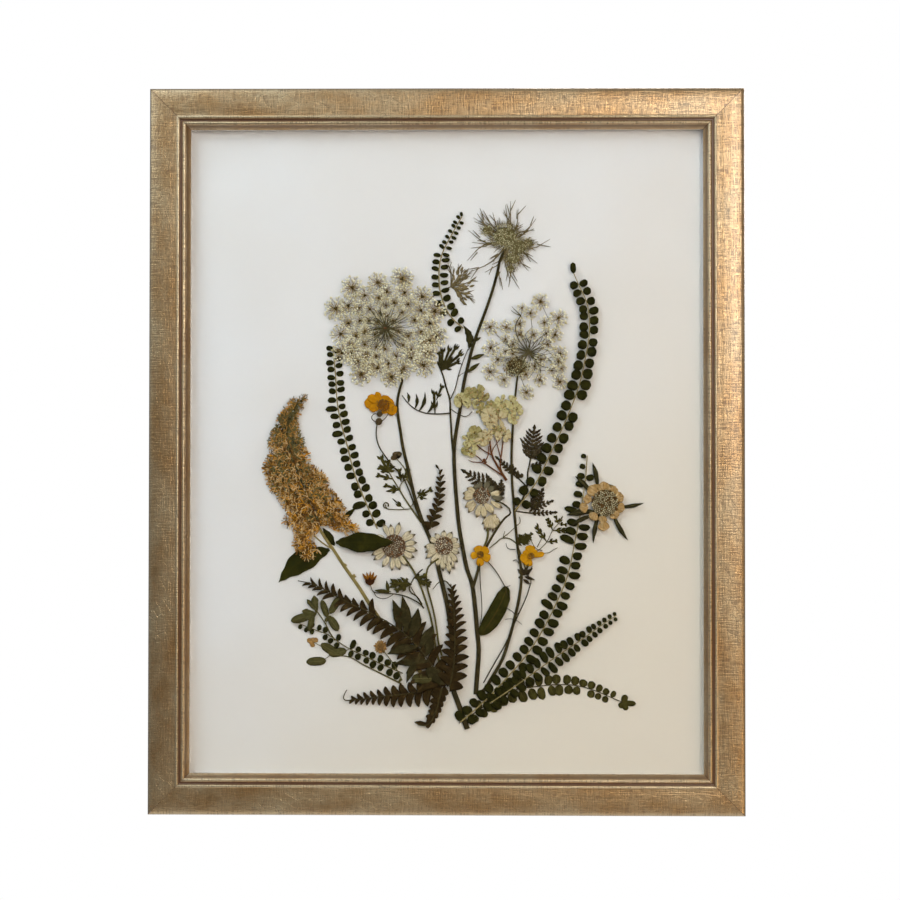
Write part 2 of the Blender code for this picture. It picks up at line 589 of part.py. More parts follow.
def make_button_ferns():
    top_spine = [(12, 184), (6, 176), (3, 168), (0, 162), (-4, 154), (-5.5, 146), (-6, 138), (-5.5, 128),
                 (-4, 120), (-2, 113), (3, 106), (8, 101), (13, 96)]
    top_pinnae = [(11, 184, 2, 1.4), (5, 181.5, 2.2, 1.5), (8.5, 178, 2, 1.3), (2.5, 178, 2.2, 1.5),
                  (8, 174.5, 2.3, 1.5), (1.5, 174, 2.4, 1.6), (6.5, 170, 2.4, 1.6), (0, 170, 2.6, 1.8),
                  (4.5, 165.5, 2.6, 1.8), (-3, 163, 3, 2.1), (2.5, 160, 3, 2.1), (-7, 158, 3.2, 2.3),
                  (-1, 155, 3.2, 2.2), (-9.5, 152, 3.4, 2.4), (-2, 148, 3.2, 2.4), (-10, 144, 3.4, 2.4),
                  (-2, 140, 3.3, 2.4), (-10, 136.5, 3.4, 2.5), (-2, 132, 3.3, 2.4), (-10, 127, 3.6, 2.5),
                  (-1.5, 122, 3, 2.2), (1, 117, 2.8, 2), (-5, 112, 2.8, 1.9), (4, 110, 2.8, 1.9),
                  (8.5, 106, 2.5, 1.7), (11, 101.5, 2.2, 1.5), (14.5, 97.5, 2.2, 1.6)]
    plant("button_fern_top", 1, DARK_GREEN, button_frond(top_spine, top_pinnae))

    left_spine = [(-89, 80), (-88, 72), (-87, 64), (-87, 56), (-86, 48), (-86, 40), (-84.5, 32), (-83, 22),
                  (-80, 11), (-78, 4), (-76, -6), (-73, -14), (-70.5, -22), (-67.5, -30), (-64, -38),
                  (-61, -46), (-58, -54), (-54, -61)]
    left_pinnae = [(-92.5, 80.5, 2.2, 2), (-88, 79.5, 2, 1.6), (-92, 75, 2.8, 2), (-91.5, 70.5, 3, 1.9),
                   (-84.5, 68, 2.6, 2), (-91, 64.5, 3.2, 2.3), (-84, 62, 2.8, 2.1), (-90.5, 58.5, 3.2, 2.2),
                   (-83.5, 56, 2.8, 2.1), (-90.5, 52, 3.4, 2.2), (-83, 49, 3.2, 2.2),
                   (-90.5, 45.5, 3.9, 2.3), (-83, 42.5, 3.2, 2.4), (-89.3, 39, 3.4, 2.3),
                   (-82.8, 36.3, 2.6, 2.5), (-89.5, 31.8, 4.6, 2.3), (-81, 29.2, 2.9, 2.4),
                   (-87, 24.3, 2.8, 2.7), (-80, 22.6, 2.9, 2.6), (-86, 17.7, 3.3, 2.6),
                   (-77.5, 15.8, 3.7, 2.4), (-85, 10, 4.6, 2.6), (-76.5, 8.8, 3.1, 2.6),
                   (-82.3, 3.6, 3.4, 3), (-74.3, 1.8, 3.4, 2.7), (-80.3, -3.8, 3.8, 2.8),
                   (-72, -5.5, 3.7, 2.8), (-79, -11.2, 4.2, 3), (-70.2, -12.4, 3.5, 3),
                   (-75.8, -18.4, 3.6, 3), (-68.3, -18.8, 3.2, 2.6), (-72.7, -25.8, 3.2, 2.7),
                   (-65.2, -26.8, 3.3, 2.6), (-70, -33, 3.2, 2.6), (-63.6, -33, 3, 2.7),
                   (-60.4, -38.6, 3.8, 2.4), (-65, -45.4, 3.9, 2.7), (-57.8, -44.9, 3.4, 2.8),
                   (-55.6, -51.5, 3.3, 2.8), (-61.5, -56.8, 5, 2.5)]
    plant("button_fern_left", 0, DARK_GREEN, button_frond(left_spine, left_pinnae))

    tall_spine = [(101, 141), (106, 128), (110, 120), (112.5, 110), (112.5, 98), (113, 88), (112, 80),
                  (110, 72), (107, 60), (105.5, 52), (103, 42.5), (100, 36), (97.5, 28), (92, 17.5),
                  (87, 5.5), (83, -2), (79, -10), (72, -24), (66, -33), (60, -41), (55, -47)]
    tall_pinnae = [(100.5, 143, 4.5, 2.7), (101.5, 132, 3.2, 2.6), (108, 131, 3, 2.5),
                   (103.5, 125, 3.2, 2.8), (112, 125, 3.4, 2.8), (106.5, 119.5, 3, 2.8),
                   (116, 118.5, 3.4, 3.1), (108, 113, 3.2, 3), (118, 111, 3.4, 3.2),
                   (108.5, 105.5, 3.2, 3), (117.5, 102, 3.6, 3.2), (108.3, 98, 3.4, 3.1),
                   (117.5, 93, 3.6, 3.4), (108, 90.5, 3.6, 3.1), (117, 84, 3.8, 3.3),
                   (107, 82.5, 3.6, 3.2), (115.5, 75, 3.8, 3.2), (105.5, 74.5, 3.6, 3.3),
                   (114, 66.5, 3.8, 3.3), (103.5, 66, 3.8, 3.3), (111.5, 58.5, 3.6, 3.1),
                   (102, 57, 3.6, 3.3), (109.5, 50, 3.5, 3.1), (100, 49.5, 3.6, 3), (107, 43, 3.4, 2.8),
                   (97.5, 42, 3.4, 3), (95, 35, 3.6, 3), (103, 30, 3.6, 3.1), (91.5, 27.5, 3.6, 3),
                   (98.5, 20, 3.8, 3.3), (86.5, 20, 3.8, 2.8), (95.5, 11.5, 4, 3.6), (84, 13.5, 3.4, 2.4),
                   (92, 5, 3, 2.4), (82.5, 4.2, 2.6, 2.4), (87.2, -4, 3.6, 3.4), (77.5, -5, 3, 2.8),
                   (82.2, -12.4, 3.6, 3.9), (74.5, -14, 2.8, 2.8), (76.5, -23.5, 4, 3.4),
                   (67, -26.6, 3.2, 2.8), (69.2, -33.6, 2.8, 2.6), (58.4, -39.6, 3, 2.6)]
    plant("button_fern_tall", 4, DARK_GREEN, button_frond(tall_spine, tall_pinnae, 1.6))

    long_spine = [(109.8, -3.5), (109.5, -14), (108.5, -22), (107.5, -30), (106.5, -38), (105, -48),
                  (103.5, -56), (102, -63), (100.5, -70), (99.5, -77), (98, -85), (96.5, -92), (94.5, -98),
                  (92, -105), (89, -112), (86, -118), (83.5, -125), (80, -132), (76, -138), (72.5, -144),
                  (69, -150), (64.5, -157), (59.5, -163), (54, -169), (48, -176), (43, -182), (37, -188),
                  (31, -194), (24, -200), (17, -206), (11, -212)]
    long_pinnae = [(107.8, -3.4, 2, 1.7), (106.3, -10.3, 3, 2.2), (106, -17.5, 3.2, 2.9),
                   (111.3, -23, 3.2, 2.7), (103.3, -25.8, 3.6, 2.5), (102.3, -33, 4.9, 2.5),
                   (102, -41, 4.6, 2.6), (97.5, -51.5, 5.5, 2.8), (98, -56, 4.5, 1.8),
                   (107.3, -59.8, 3.4, 3), (98.3, -62, 3.9, 3), (96.6, -68.6, 4.3, 2.9),
                   (104.3, -69.4, 4, 1.6), (93.6, -76, 6.2, 3), (103.4, -76.2, 4.6, 2.8),
                   (102.7, -83.6, 4.4, 3), (99.9, -90.5, 3.9, 2.9), (92.2, -92.8, 2.4, 1.9),
                   (98.4, -96.4, 2.2, 1.6), (90.1, -100.4, 4, 3), (96.8, -104.6, 4, 3.5),
                   (87.8, -107.8, 3.8, 3), (94.2, -112.8, 4.2, 3.1), (83.8, -115.9, 4, 3),
                   (80.3, -121.8, 4.8, 3.1), (90.3, -121.4, 4.4, 3), (74.8, -128.3, 7.2, 3),
                   (86.2, -129, 3.6, 3.5), (73.8, -136.8, 3.8, 3), (83, -138, 5.6, 3.1),
                   (70.6, -142.6, 3.6, 2.7), (77.9, -144.6, 4.2, 3.4), (65.6, -150.6, 3.8, 3.3),
                   (73, -150.8, 3.8, 3.2), (59.6, -157.8, 4.6, 3.3), (67.9, -158, 3.4, 3.5),
                   (63.8, -164.8, 3.6, 3.2), (51.3, -169.2, 4, 3.2), (44.6, -176, 3.8, 3),
                   (54.5, -178, 4.2, 3.6), (39.8, -181.6, 3.2, 3), (47.5, -184, 3.8, 3.2),
                   (35, -186.5, 3, 2.4), (43.5, -189.5, 3.6, 3), (45.5, -195.5, 3.6, 2.2),
                   (38, -193, 3.4, 3), (41, -199, 3, 2), (29.5, -197.8, 4.2, 3), (22, -195, 3.2, 2.2),
                   (20, -202, 3.2, 2.6), (16.2, -205.6, 2.6, 2.2)]
    plant("button_fern_long", 2, DARK_GREEN, button_frond(long_spine, long_pinnae, 1.6))

    slant_spine = [(133, -128), (128, -130.5), (124, -133.5), (120, -136.5), (116, -139.5), (112, -142.5),
                   (107, -146), (102, -149), (97, -152.5), (91, -156.5), (86, -160), (80, -164),
                   (74, -168.5), (68, -173), (61, -178), (53, -184)]
    slant_pinnae = [(132.5, -127.6, 1.6, 1.3), (127.4, -128.6, 1.6, 1.3), (130.4, -131.2, 1.2, 1),
                    (123, -131.3, 2, 1.9), (127.9, -133.4, 1.8, 1.6), (119.4, -134.2, 2.2, 2),
                    (124.5, -136.7, 2, 1.9), (115.4, -137, 2.2, 2.1), (120.8, -140.4, 2.5, 2.1),
                    (110, -139.7, 2.2, 2.1), (115.8, -142.7, 2.1, 2), (105.4, -142.8, 2.8, 2.4),
                    (110.9, -145.8, 2.6, 1.9), (99, -146, 4.2, 2.3), (106.2, -149.8, 3, 2.4),
                    (93.6, -150.6, 3.9, 2.3), (100.6, -154.6, 3.6, 2.7), (87.4, -154, 4.9, 2.3),
                    (94, -157, 1.4, 1), (81.8, -158.6, 4.8, 2.4), (90.4, -162.6, 4.6, 2.4),
                    (77.3, -162.8, 3.7, 2.5), (84.5, -166.8, 5, 2.4), (72.7, -166.8, 2.7, 2.4),
                    (78.8, -168.8, 3, 2.5), (65, -171.6, 3, 2.3), (73.6, -172.8, 2.9, 2.3),
                    (59.8, -175.2, 3, 2.2), (67, -178, 3, 2.4)]
    plant("button_fern_slanting", 3, DARK_GREEN, button_frond(slant_spine, slant_pinnae, 1.0))

    low_spine = [(140, -197), (135, -195), (130, -192.8), (125, -191.5), (119, -189), (113, -186),
                 (107, -184.5), (101, -183), (95, -182), (88, -182), (80, -182.5), (72, -184), (64, -185),
                 (56, -186.5), (48, -188.5)]
    low_pinnae = [(139, -192.6, 2.4, 2.2), (136.6, -197.6, 2.6, 2.2), (140, -199, 2.6, 2),
                  (144, -197, 3.6, 1.9), (122, -188, 2.2, 1.9), (117.6, -186.6, 3.2, 2.4),
                  (118.3, -192.5, 3.3, 2.9), (112.4, -183.5, 3, 2.6), (113, -190, 3.2, 2.4),
                  (107, -181.8, 3, 2.9), (107.6, -190.6, 3.9, 3.1), (101.4, -180, 3.2, 2.7),
                  (103.4, -188, 2.6, 2.3), (93, -178.6, 2.9, 2.9), (96.9, -186.4, 2.8, 2.6),
                  (85.2, -177.6, 4.4, 2.8), (82.4, -186.2, 3, 2.7), (76.8, -178, 4.4, 2.9),
                  (74.6, -188, 5, 3.4), (69, -178.4, 4.6, 3), (63.6, -188.8, 3.4, 1.7),
                  (61.5, -180.4, 4, 3), (56, -190, 3.6, 3.2), (53.5, -182.5, 3.4, 2.8)]
    plant("button_fern_low", 0, LEAF_GREEN, button_frond(low_spine, low_pinnae, 1.0))


def make_goldenrod():
    outline = [(-109, 46), (-110.5, 40), (-113.5, 34), (-117, 28), (-117, 20), (-115.5, 14), (-113, 5),
               (-107, -4), (-109, -9), (-103, -15), (-97, -18), (-93, -24), (-92, -31), (-86, -36),
               (-80, -46), (-79, -52), (-73, -56), (-69, -62.5), (-78, -64), (-88, -61), (-95, -59),
               (-101, -64), (-106, -69), (-99, -77), (-105, -84), (-111, -84), (-118, -77), (-119, -66),
               (-116, -60), (-127, -57), (-123, -47), (-130, -41), (-132, -34), (-137, -30), (-140, -21),
               (-143, -14), (-139, -5), (-136, -1), (-139, 5), (-136, 13), (-132, 22), (-131, 30),
               (-125, 33), (-121, 40), (-115, 41)]
    ridge = [(-113, 38), (-119, 26), (-119, 10), (-113, -8), (-99, -22), (-95, -34), (-84, -48), (-76, -60),
             (-90, -57), (-104, -58), (-111, -78), (-115, -66), (-118, -52), (-126, -34), (-136, -16),
             (-133, 4), (-129, 22), (-121, 34)]
    plant("goldenrod_plume", 2, GOLD_BROWN, [outline], [ridge], 3)
    plant("goldenrod_stem", 0, (0.25, 0.2, 0.08),
          [strip([(-101, -58), (-95, -68), (-88, -78), (-81.5, -88), (-74.5, -98), (-67.5, -108),
                  (-60, -120), (-48, -137), (-36, -152), (-26, -165), (-18.5, -175)], 2.6, 3.4),
           strip([(-104, -66), (-97, -72), (-89, -77)], 1.4),
           blade((-87.5, -74), (-97, -60), 3.4), blade((-88, -75), (-71, -44), 3.0)])
    plant("goldenrod_leaf_left", 0, DARK_GREEN,
          [[(-92.5, -76), (-92.5, -80), (-97, -85.5), (-105, -91), (-115, -96), (-125, -99), (-131, -102.5),
            (-130.5, -100.5), (-127, -94), (-124, -87), (-120, -82), (-113, -78), (-104, -76)]])
    plant("goldenrod_leaf_right", 5, DARK_GREEN,
          [[(-86, -73), (-81, -76.5), (-75, -77.8), (-66, -76.5), (-56, -73.7), (-45, -71), (-41, -71.5),
            (-43, -69), (-50, -65.5), (-58, -63), (-66, -62.4), (-76, -63.5), (-82, -67)]])


def make_orange_flower():
    lobes = [(-60, 38, 5.2), (-54.5, 41, 4.4), (-47, 39, 5), (-41.5, 35, 4.4), (-51, 35, 6)]
    plant("orange_flower", 2, ORANGE,
          [circle(*lobe, 8) for lobe in lobes]
          + [blade((-54, 21), (-53, 33), 3.4, ((0.5, 1.0), (0.8, 0.8))),
             strip([(-54, 23), (-55, 15), (-54.5, 9), (-52.5, 3), (-48, -4), (-41, -13), (-34.5, -20),
                    (-30.5, -28), (-27, -37), (-24, -45), (-20.5, -53)], 1.4)],
          [circle(-50, 35.5, 6.5, 8)], 2)


def make_cut_leaves_left():
    stem = [(-46, -15), (-42, -22), (-37, -30), (-33, -37), (-28, -44), (-23, -51), (-19.5, -56)]
    plant("cut_leaf_left", 0, LEAF_GREEN,
          [strip(stem, 1.2, 2.0), strip([(-30, -21), (-35, -25), (-36.5, -30), (-35, -33.5)], 1.2),
           strip([(-33, -24), (-30.5, -20.5), (-35, -11), (-39, -6)], 1.0),
           strip([(-48, -42), (-46.5, -45), (-42, -45.6), (-26, -45.2)], 1.0),
           strip([(-28.5, -44.5), (-24, -38.5), (-21, -34)], 1.2),
           circle(-40, -4, 3.9, 7), blade((-35.5, -24), (-37.5, -13.5), 3),
           blade((-34, -23), (-30, -14), 2.4), blade((-33.5, -45), (-42.5, -37), 1.2),
           blade((-44, -45.5), (-45, -40), 2.2)]
          + [blade((-45.5, -17), tip, 2.6) for tip in [(-52, -3.5), (-46, -7), (-53.5, -12), (-42, -11)]]
          + [blade((-42, -22), (-55, -18.5), 1.8), blade((-37, -30), (-49, -26.5), 1.4),
             blade((-37, -30.5), (-47.5, -31.5), 1.2), blade((-22, -35), (-20, -29.5), 1.4),
             blade((-22, -35.5), (-11, -29.5), 1.6), blade((-22.5, -36), (-15, -37.5), 1.0)])


def make_ferns():
    small_spine = [(-8.5, -10.5), (-6, -14), (-5, -20), (-5, -28), (-6, -36), (-7, -42), (-9, -49),
                   (-11, -55), (-12.7, -61)]
    small_tips = [(-3, -16), (-2.2, -21.5), (-1.9, -25.8), (-0.6, -28.8), (0.2, -33.6),
                  (-0.8, -39.2), (-1, -45), (-3, -51.2), (-8, -57), (-7.6, -21),
                  (-8.4, -24.5), (-9, -28.7), (-10, -32.6), (-11, -38), (-13.3, -43),
                  (-15.3, -48), (-17.5, -53)]
    plant("fern_small", 3, BROWN_BLACK, pointed_frond(small_spine, small_tips, 1.6, 3.5))

    upright_spine = [(3.5, -103.5), (5, -110), (5.5, -118), (6, -126), (6.5, -136), (6.5, -146),
                     (6.5, -158), (6, -168), (4.5, -176), (2.5, -184)]
    upright_tips = [(8, -103.8), (9.8, -108), (11.7, -112), (12.9, -118), (15.2, -124.6),
                    (15.8, -132.6), (17, -140.6), (18, -149), (18, -157), (14, -165),
                    (0.5, -107.5), (0.2, -111.6), (0.3, -117), (0.6, -122.4),
                    (0, -129.2), (-0.8, -136.6), (-2.4, -143.6), (-4, -151),
                    (-5, -158), (-5.5, -165), (-8.5, -173)]
    plant("fern_upright", 5, BROWN_BLACK,
          pointed_frond(upright_spine, upright_tips, 1.8, 5.0)
          + [strip([(-10.5, -108), (-5, -102), (-1, -101.5), (5, -108)], 1.4)])

    slant_spine = [(-116, -101.5), (-110, -102.3), (-104, -104.2), (-98, -107), (-91, -110.5),
                   (-84, -114.5), (-76, -119), (-68, -122.5), (-60, -126), (-52, -130), (-44, -134.5),
                   (-37, -139.5), (-30, -145.5), (-23, -152), (-15, -162), (-8, -171.5), (-1.5, -180)]
    slant_tips = [(-103.6, -98), (-98.4, -99), (-93, -101), (-87.2, -104.8), (-79.5, -113),
                  (-72, -115), (-62.8, -112), (-55.6, -114), (-47, -114.5), (-37.5, -114),
                  (-29, -123), (-18.5, -131), (-11, -147), (-112, -105), (-108, -108),
                  (-104, -111), (-100, -113.8), (-95, -117.5), (-82.2, -127),
                  (-77, -131.4), (-70, -136.3), (-63, -142.4), (-56, -147.4),
                  (-49, -151.4), (-45.5, -157), (-44, -163)]
    base_leaves = [blade((-6, -177), (-26, -178), 4.2), blade((-2, -174), (-10.5, -180), 5),
                   blade((-22, -163), (-33, -181), 3)]
    plant("fern_slanting", 4, BROWN_BLACK, pointed_frond(slant_spine, slant_tips, 1.8, 6.0) + base_leaves
          + [strip([(-23, -165), (-20, -158)], 3.0)])

    level_spine = [(-77.5, -186.5), (-79.5, -190), (-79.8, -194), (-75, -194.6), (-65, -193.6),
                   (-55, -192.2), (-45, -191.2), (-35, -190.2), (-25, -189), (-15, -186.6), (-8, -184.6),
                   (-3, -183)]
    level_tips = [(-74.5, -192), (-72, -190.6), (-67.5, -189.4), (-62.3, -187.2),
                  (-56.4, -185.4), (-49.8, -184), (-43, -183.6), (-36, -184.6),
                  (-29, -183.4), (-76.5, -196.6), (-73.5, -197.3), (-70, -198.2),
                  (-65.3, -198.7), (-60.4, -199.8), (-54.5, -199.6), (-48.7, -200),
                  (-41.8, -200.3), (-34.8, -202), (-26.8, -202), (-17, -198)]
    plant("fern_level", 2, BROWN_BLACK, pointed_frond(level_spine, level_tips, 1.8, 3.0))

    low_spine = [(-24.5, -211.6), (-20, -214), (-14, -213), (-10.5, -209), (-8, -203), (-6, -196),
                 (-4.5, -190), (-3.5, -185)]
    low_tips = [(-12.4, -216.5), (-9, -214.6), (-6, -212.4), (-3, -209), (0.2, -205),
                (2, -197.6), (2.6, -192.5), (-15.5, -209.4), (-13.4, -206.6),
                (-12.4, -203), (-11, -199.6), (-10.6, -192)]
    plant("fern_drooping", 3, BROWN_BLACK, pointed_frond(low_spine, low_tips, 2.2, 3.0))


def make_hydrangea():
    florets = [(11, 39, 5.5), (13.5, 46, 5), (18, 38, 5), (25, 46, 7.5), (30, 39, 6), (36, 41, 5),
               (43, 39, 6), (50, 39, 5.5), (56, 37, 4), (38.5, 27, 9), (53, 30, 6.5), (26, 30, 7),
               (17, 27, 6), (22, 15, 7.5), (31, 17, 6), (27, 8, 7.5), (16, 8, 5), (15, -1, 4.5),
               (44.5, 15, 7.5), (47, 24, 6), (21, 0, 4)]
    plant("hydrangea_florets", 3, CREAM, [circle(*floret, 5) for floret in florets],
          [circle(25, 44, 5, 5), circle(38, 29, 6, 5), circle(24, 12, 6, 5), circle(45, 17, 5, 5)], 2)
    plant("hydrangea_stalks", 2, RED_BROWN,
          [strip([(33, 20), (34, 8), (35.5, -3), (39, -11), (43, -17), (47, -23)], 1.6, 3.0),
           strip([(44.5, 12), (43.5, -2), (42, -13), (45.5, -21)], 1.5),
           strip([(17, 10), (22, 6), (28, 1), (35, -3)], 1.3), strip([(33, 4), (31.5, -6), (28.5, -8)],
                                                                     1.6),
           strip([(17, -7), (21, -8.8), (28.5, -8.8), (36, -14), (46, -21)], 1.3),
           strip([(20, -2), (25, -5), (29, -8.5)], 1.2), strip([(41.5, 9), (37, 3), (35, -1)], 1.1)])


def make_dark_leaves_right():
    trunk = [(70, 6), (66, -4), (65, -10), (63.5, -17), (63.3, -25), (61, -34), (57, -42), (53.5, -47)]
    lobes = [(69, 21), (64, 17), (58, 11.5), (57, 6.5), (60, 2), (74, 13), (77.5, 8.5), (79, 4)]
    branch = [(38, -4), (45, -11), (52, -18), (58, -23), (63.5, -29)]
    plant("dark_leaf_spray", 0, BROWN_BLACK,
          [strip(trunk, 1.6, 2.4), strip(branch, 1.6), circle(68, 3, 7, 8)]
          + [blade((66, -4), tip, 3.4) for tip in lobes]
          + [blade((65, -12), (80, 2), 4), blade((66, -10), (77, -10), 3),
             blade((64.5, -11), (69, -5), 1.6), blade((49, -14.5), (38.5, -3.5), 2.8),
             blade((53, -18), (48, -8), 2.2), blade((57.5, -22), (53, -13), 1.7),
             blade((58, -22.5), (61, -20.5), 1.6), strip([(54, -47), (60, -47.8), (68, -48.6),
                                                          (74, -48.3)], 1.5),
             blade((68, -48.5), (88, -47.8), 2.6), strip([(65, -47.5), (70, -42), (74, -37)], 3.0),
             blade((68, -44), (78, -30), 5), blade((70, -41), (84.5, -38), 2),
             blade((67, -45), (70, -29), 2.4)])
    plant("dark_leaf_behind", 0, BROWN_BLACK,
          [blade((39.5, -33), tip, 3) for tip in [(11, -14), (17, -23), (22, -15), (26.5, -16), (33, -21)]]
          + [blade((39.8, -33), (35, -18.5), 2.4), blade((39.8, -33), (41.8, -22.8), 2),
             blade((38, -32), (20, -28), 4)])
    plant("feathery_leaf", 0, LEAF_GREEN,
          [strip([(33.5, -76), (38.5, -72), (44, -68), (52, -70), (57, -78), (61, -90), (63, -97)], 1.1),
           strip([(44.5, -67.5), (49, -64), (55, -58)], 0.9), strip([(62, -91), (66, -82), (74, -76),
                                                                     (79, -70.5),
                                                                      (83, -62), (88, -56), (91, -51)],
                                                                      1.1),
           strip([(64, -86), (74, -80.5), (80, -79.5), (84, -77), (87, -75.5)], 0.9),
           strip([(87.5, -57), (85.8, -52), (85, -50.5)], 0.9), strip([(88, -56.8), (94, -57.6)], 0.9),
           strip([(83, -62), (90, -63), (96, -62)], 1.3), strip([(83, -61.5), (81.5, -56), (78.5, -52)],
                                                                1.3),
           strip([(78.5, -71), (74.5, -65), (69.5, -58)], 1.5), strip([(79, -71), (84.5, -72), (87, -70)],
                                                                      1.0),
           blade((56, -71), (66, -67), 4, point=2), blade((56, -70.5), (58, -65), 2),
           blade((59, -70), (63, -64.5), 1.8), blade((64, -69), (67, -63.8), 1.4),
           strip([(66, -69), (70, -76), (75, -78)], 1.0), strip([(71, -75), (75, -67)], 1.2)])


def masterwort(name, layer, centre, head_radius, tips, stem, blunt=1.2):
    """A ring of blunt bracts round a raised head of florets, with its stem."""
    plant(name, layer, CREAM, [star(centre, tips, head_radius * 1.35, blunt), stem],
          [circle(*centre, head_radius, 8)], 2)


def make_masterworts():
    masterwort("masterwort_left", 2, (-41, -76), 9.4,
               [(-50, -57), (-43.5, -57.5), (-37, -55), (-28, -61), (-25, -64.5), (-23.5, -71.5),
                (-22.5, -77), (-24, -84), (-31, -90), (-36.5, -93.5), (-43, -94.5), (-51, -92), (-56, -86),
                (-59, -83), (-60, -76)],
               strip([(-34, -82), (-28, -90), (-24, -97), (-20, -106), (-16.5, -116), (-13, -127),
                      (-10.6, -138), (-9, -149), (-7, -159), (-4, -170)], 2.2, 1.8))
    masterwort("masterwort_centre", 2, (-1, -77), 7.6,
               [(-9.5, -64.5), (-1.5, -61.5), (5, -63), (9, -68), (12, -75), (11, -82), (8, -90), (2, -97),
                (-4, -94), (-13, -88.5), (-16.5, -82), (-18, -75.5), (-14, -68)],
               strip([(-6, -84), (-14, -90.5), (-15.6, -98), (-14.8, -107), (-12, -117.5), (-9, -130),
                      (-7.4, -140), (-6, -150), (-3.5, -160)], 1.8, 1.6), 1.5)
    masterwort("masterwort_right", 3, (29, -38), 7.6,
               [(24, -23.5), (32, -23), (38, -25), (18, -28), (13, -32), (12, -36.5), (12.5, -40.5),
                (17, -48), (23, -52), (28, -53), (35, -52), (42, -46), (45, -41), (47, -37.5), (43, -31)],
               strip([(38, -39), (44, -41), (50, -48.2), (46, -52), (40, -60), (34, -70), (29, -80),
                      (25, -92), (22.5, -101)], 1.5, 2.8), 1.5)
    masterwort("masterwort_low", 1, (34, -56), 6,
               [(27, -58), (29, -62), (34, -63), (39, -61), (43, -57), (40, -50), (31, -50)],
               strip([(32.5, -60), (32, -68), (29, -76), (26.5, -84), (24.5, -92)], 2.0), 2.0)


def make_buttercups():
    left_petals = [(26.5, -78.5, 5), (31, -79, 4.4), (22.5, -82, 4.2), (26, -86, 4.4), (31, -84.5, 4)]
    plant("buttercup_left", 4, YELLOW,
          [circle(x, z, r, 7) for x, z, r in left_petals]
          + [strip([(26, -88), (26.5, -104), (27.5, -116), (27.6, -128), (26.5, -135)], 1.2, 0.9)],
          [circle(26.5, -81, 3.6, 6)], 2)
    right_petals = [(66, -77.5, 4.6), (61.5, -83, 4.4), (69.5, -80.5, 4.2), (75.5, -80, 3.6),
                    (64.5, -87, 4)]
    plant("buttercup_right", 2, YELLOW,
          [circle(x, z, r, 7) for x, z, r in right_petals]
          + [strip([(64, -88), (62.5, -95), (66, -101), (65, -106), (62, -115), (57, -126), (53, -135),
                    (46.5, -150), (38, -165), (29, -181)], 1.2)],
          [circle(66, -82, 3.4, 6)], 3)


def make_scabious():
    petals = [(115, -31, 5.5), (122.5, -28.5, 5), (129.5, -31, 4.6), (134.5, -36, 4.2), (135.5, -44, 4),
              (131, -49, 4.2), (122.5, -58, 4.6), (122, -52.5, 3.6), (115, -50.5, 4), (107.5, -44, 4),
              (110.5, -37.5, 4)]
    bracts = [blade((118, -29), (114, -9), 1.8), blade((119, -28), (130.5, -27), 2.4),
              blade((134, -43.5), (154, -40.5), 1.6), blade((130, -49), (141.5, -69.5), 1.9),
              blade((119.5, -48), (114.5, -72), 1.9), blade((114, -34), (100.5, -19.5), 2),
              blade((116, -47), (94, -50), 2.4)]
    centre = (123.5, -40)
    plant("scabious", 3, (0.42, 0.3, 0.16),
          [circle(*petal, 6) for petal in petals] + bracts + [circle(*centre, 13, 10)]
          + [strip([(117, -49), (111, -52), (104, -55.5)], 1.4)],
          [circle(*centre, 11, 10)], 3)


def make_lance_leaf():
    plant("lance_leaf", 2, (0.1, 0.1, 0.025),
          [[(47, -106), (48, -112), (47, -120), (43, -128), (38, -134), (33, -140), (27.5, -143.5),
            (26.5, -139), (27.5, -132), (31, -125), (36, -117), (42, -109.5)],
           strip([(31.5, -85.5), (38, -93), (43, -101), (46.5, -108)], 1.1)])


